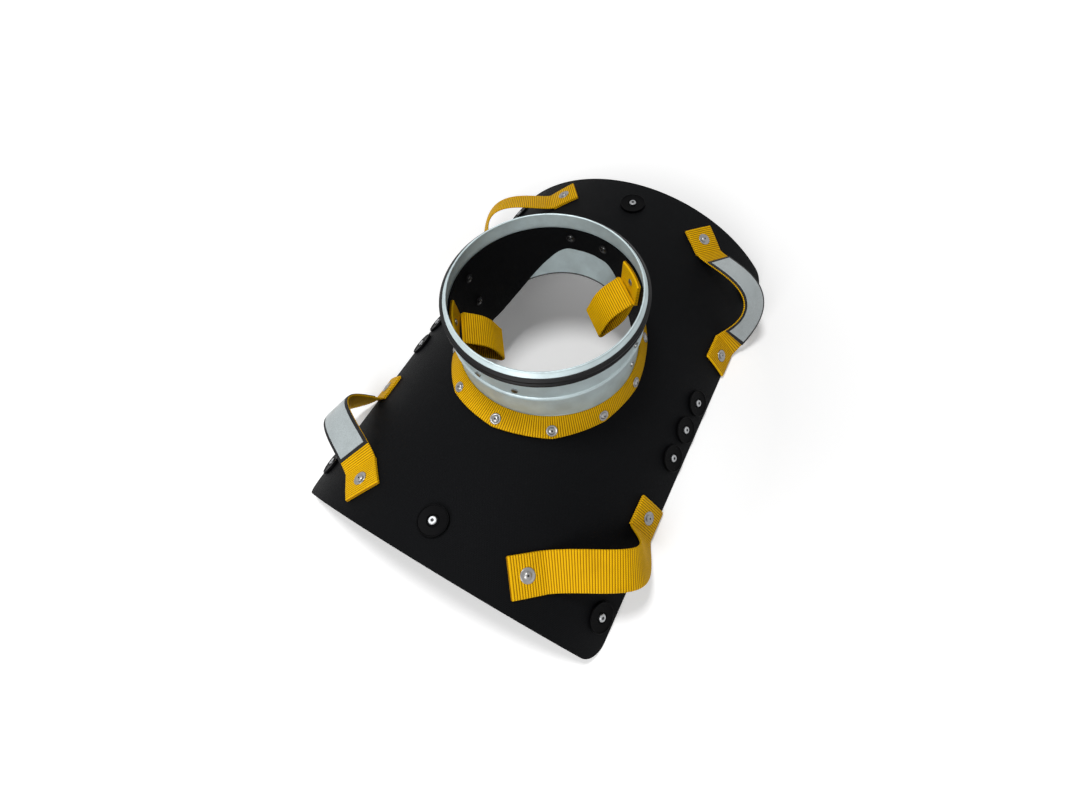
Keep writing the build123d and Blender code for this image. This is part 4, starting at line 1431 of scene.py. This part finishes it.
class HOOD_OT_clamp_discs(Operator):
    """Mould the twelve clamp discs with their raised rims and screw recesses"""

    bl_idname = "hood.clamp_discs"
    bl_label = "Clamp discs"

    def execute(self, context):
        scene = context.scene
        sizes = scene.hood_disc
        outer, inner, rim, high = sizes.radius, sizes.recess, sizes.rim, sizes.height
        face = high - DISC_FACE_DROP
        corners = [
            (DISC_HOLE, SEAT_GAP, 0),
            (outer - DISC_CHAMFER, SEAT_GAP, 1),
            (outer, DISC_FOOT, 1),
            (outer, high - DISC_ROUND, 1),
            (outer - DISC_ROUND, high, 1),
            (outer - rim + DISC_CHAMFER, high, 1),
            (outer - rim, face, 1),
            (inner + RECESS_FLARE, face, 1),
            (inner, face - RECESS_EDGE, 1),
            (inner, DISC_SEAT, 0),
            (DISC_HOLE, DISC_SEAT, 0),
        ]
        pattern = turned("clamp_disc", rounded(corners, DISC_ROUND, 4), 64)
        for polygon in pattern.data.polygons:
            across = math.hypot(polygon.center.x, polygon.center.y)
            polygon.material_index = int(across > outer - rim)
        piece = smooth(repeated("moulded_clamp_discs", pattern, disc_frames(scene)), 40)
        looks = (("Disc plastic", (0.35, 0.50), 0.03), ("Disc rim", (0.22, 0.32), 0.25))
        finishes = tuple(
            moulded_finish(name, sizes.colour, rough, grain=800.0, depth=0.00002, gloss=gloss)
            for name, rough, gloss in looks
        )
        settle(piece, finishes, "hood", "disc_plastic", "clamp_discs")
        return {"FINISHED"}


class HOOD_OT_magnets(Operator):
    """Finish the magnets under the sheet and the screws that hold them"""

    bl_idname = "hood.magnets"
    bl_label = "Magnets and screws"

    def execute(self, context):
        scene = context.scene
        zinc = metal_finish("Screw steel", scene.hood_disc.screw, (0.22, 0.4), dull=0.75)
        finish_node("magnet_screws", zinc)
        finish_node("magnet_cases", moulded_finish("Magnet rubber", MAGNET_BLACK, (0.45, 0.65)))
        finish_node("magnet_plates", metal_finish("Plate steel", PLATE_STEEL, (0.3, 0.5)))
        finish_node("magnet_slugs", metal_finish("Magnet alloy", MAGNET_ALLOY, (0.25, 0.4)))
        return {"FINISHED"}


class HOOD_OT_studio(Operator):
    """Lay the pale floor, hang the lamps and set the camera"""

    bl_idname = "hood.studio"
    bl_label = "Studio"

    def execute(self, context):
        scene = context.scene
        studio = scene.hood_studio
        self.lay_floor()
        self.light_sky(scene, studio.sky)
        self.hang_lamp("key_lamp", *KEY_LAMP, studio.key)
        self.hang_lamp("fill_lamp", *FILL_LAMP, studio.fill)
        self.set_camera(scene, studio)
        scene.view_settings.view_transform = "Standard"
        return {"FINISHED"}

    def seen_or_mirrored(self, tree):
        """1 where a ray comes from the camera, a mirror or glass."""
        rays = tree.nodes.new("ShaderNodeLightPath")
        seen = rays.outputs["Is Camera Ray"]
        for ray in ("Is Glossy Ray", "Is Transmission Ray"):
            larger = tree.nodes.new("ShaderNodeMath")
            larger.operation = "MAXIMUM"
            tree.links.new(seen, larger.inputs[0])
            tree.links.new(rays.outputs[ray], larger.inputs[1])
            seen = larger.outputs[0]
        return seen

    def lay_floor(self):
        """Pale floor that glows where it is seen or mirrored, and less so near the hood."""
        deselect()
        bpy.ops.mesh.primitive_plane_add(size=FLOOR_SIZE)
        floor = bpy.context.object
        floor.name = "floor"
        finish = Finish("Floor", roughness=0.9, specular_ior_level=0.0)
        place = finish.object_vector()
        away = finish.node("ShaderNodeVectorMath", {0: place}, operation="LENGTH").outputs["Value"]
        level = finish.spread(finish.between(away, *GLOW_REACH), *GLOW_LEVEL)
        glow = finish.math("MULTIPLY", self.seen_or_mirrored(finish.tree), level)
        looks = {"Base Color": FLOOR_WHITE, "Emission Color": WHITE, "Emission Strength": glow}
        for socket, value in looks.items():
            finish.feed(finish.shader.inputs[socket], value)
        floor.data.materials.append(finish.material)

    def light_sky(self, scene, strength):
        """Soft light from all round, under a sky that is white where it is seen or mirrored."""
        world = bpy.data.worlds.new("Studio sky")
        scene.world = world
        world.use_nodes = True
        tree = world.node_tree
        sky = tree.nodes["Background"]
        sky.inputs["Color"].default_value = (*WHITE, 1)
        level = tree.nodes.new("ShaderNodeMapRange")
        level.inputs["To Min"].default_value = strength
        level.inputs["To Max"].default_value = 1.0
        tree.links.new(self.seen_or_mirrored(tree), level.inputs["Value"])
        tree.links.new(level.outputs[0], sky.inputs["Strength"])

    def hang_lamp(self, name, place, size, power):
        """Round lamp at a place, turned towards the hood."""
        light = bpy.data.lights.new(name, "AREA")
        light.shape = "DISK"
        light.size = size
        light.energy = power
        lamp = new_object(name, light)
        lamp.location = place
        lamp.rotation_euler = (-Vector(place)).to_track_quat("-Z", "Y").to_euler()

    def set_camera(self, scene, studio):
        camera = new_object("camera", bpy.data.cameras.new("camera"))
        back = -Vector(studio.ahead).normalized()
        right = Vector(studio.upright).cross(back).normalized()
        camera.matrix_world = frame_of(right, back.cross(right), back, Vector(studio.place))
        camera.data.sensor_width = 36
        camera.data.sensor_fit = "HORIZONTAL"
        camera.data.lens = studio.lens
        camera.data.clip_start = 0.01
        scene.camera = camera


OPERATORS = (
    HOOD_OT_sheet,
    HOOD_OT_spigot,
    HOOD_OT_lining,
    HOOD_OT_collar,
    HOOD_OT_collar_washers,
    HOOD_OT_handles,
    HOOD_OT_patches,
    HOOD_OT_handle_washers,
    HOOD_OT_stubs,
    HOOD_OT_inner_loops,
    HOOD_OT_eyelets,
    HOOD_OT_clamp_discs,
    HOOD_OT_magnets,
    HOOD_OT_studio,
)


class HOOD_PT_panel(Panel):
    """Lists the hood's pieces in the order in which they are made"""

    bl_idname = "HOOD_PT_panel"
    bl_label = "Smoke hood"
    bl_space_type = "VIEW_3D"
    bl_region_type = "UI"
    bl_category = "Smoke hood"

    def draw(self, context):
        for operator in OPERATORS:
            self.layout.operator(operator.bl_idname)


def register():
    for name, group in PROPERTY_GROUPS.items():
        bpy.utils.register_class(group)
        setattr(bpy.types.Scene, name, PointerProperty(type=group))
    for cls in (*OPERATORS, HOOD_PT_panel):
        bpy.utils.register_class(cls)


def unregister():
    for cls in reversed((*OPERATORS, HOOD_PT_panel)):
        bpy.utils.unregister_class(cls)
    for name, group in PROPERTY_GROUPS.items():
        delattr(bpy.types.Scene, name)
        bpy.utils.unregister_class(group)


def main():
    register()
    for operator in OPERATORS:
        group, name = operator.bl_idname.split(".")
        getattr(getattr(bpy.ops, group), name)()


if __name__ == "__main__":
    main()
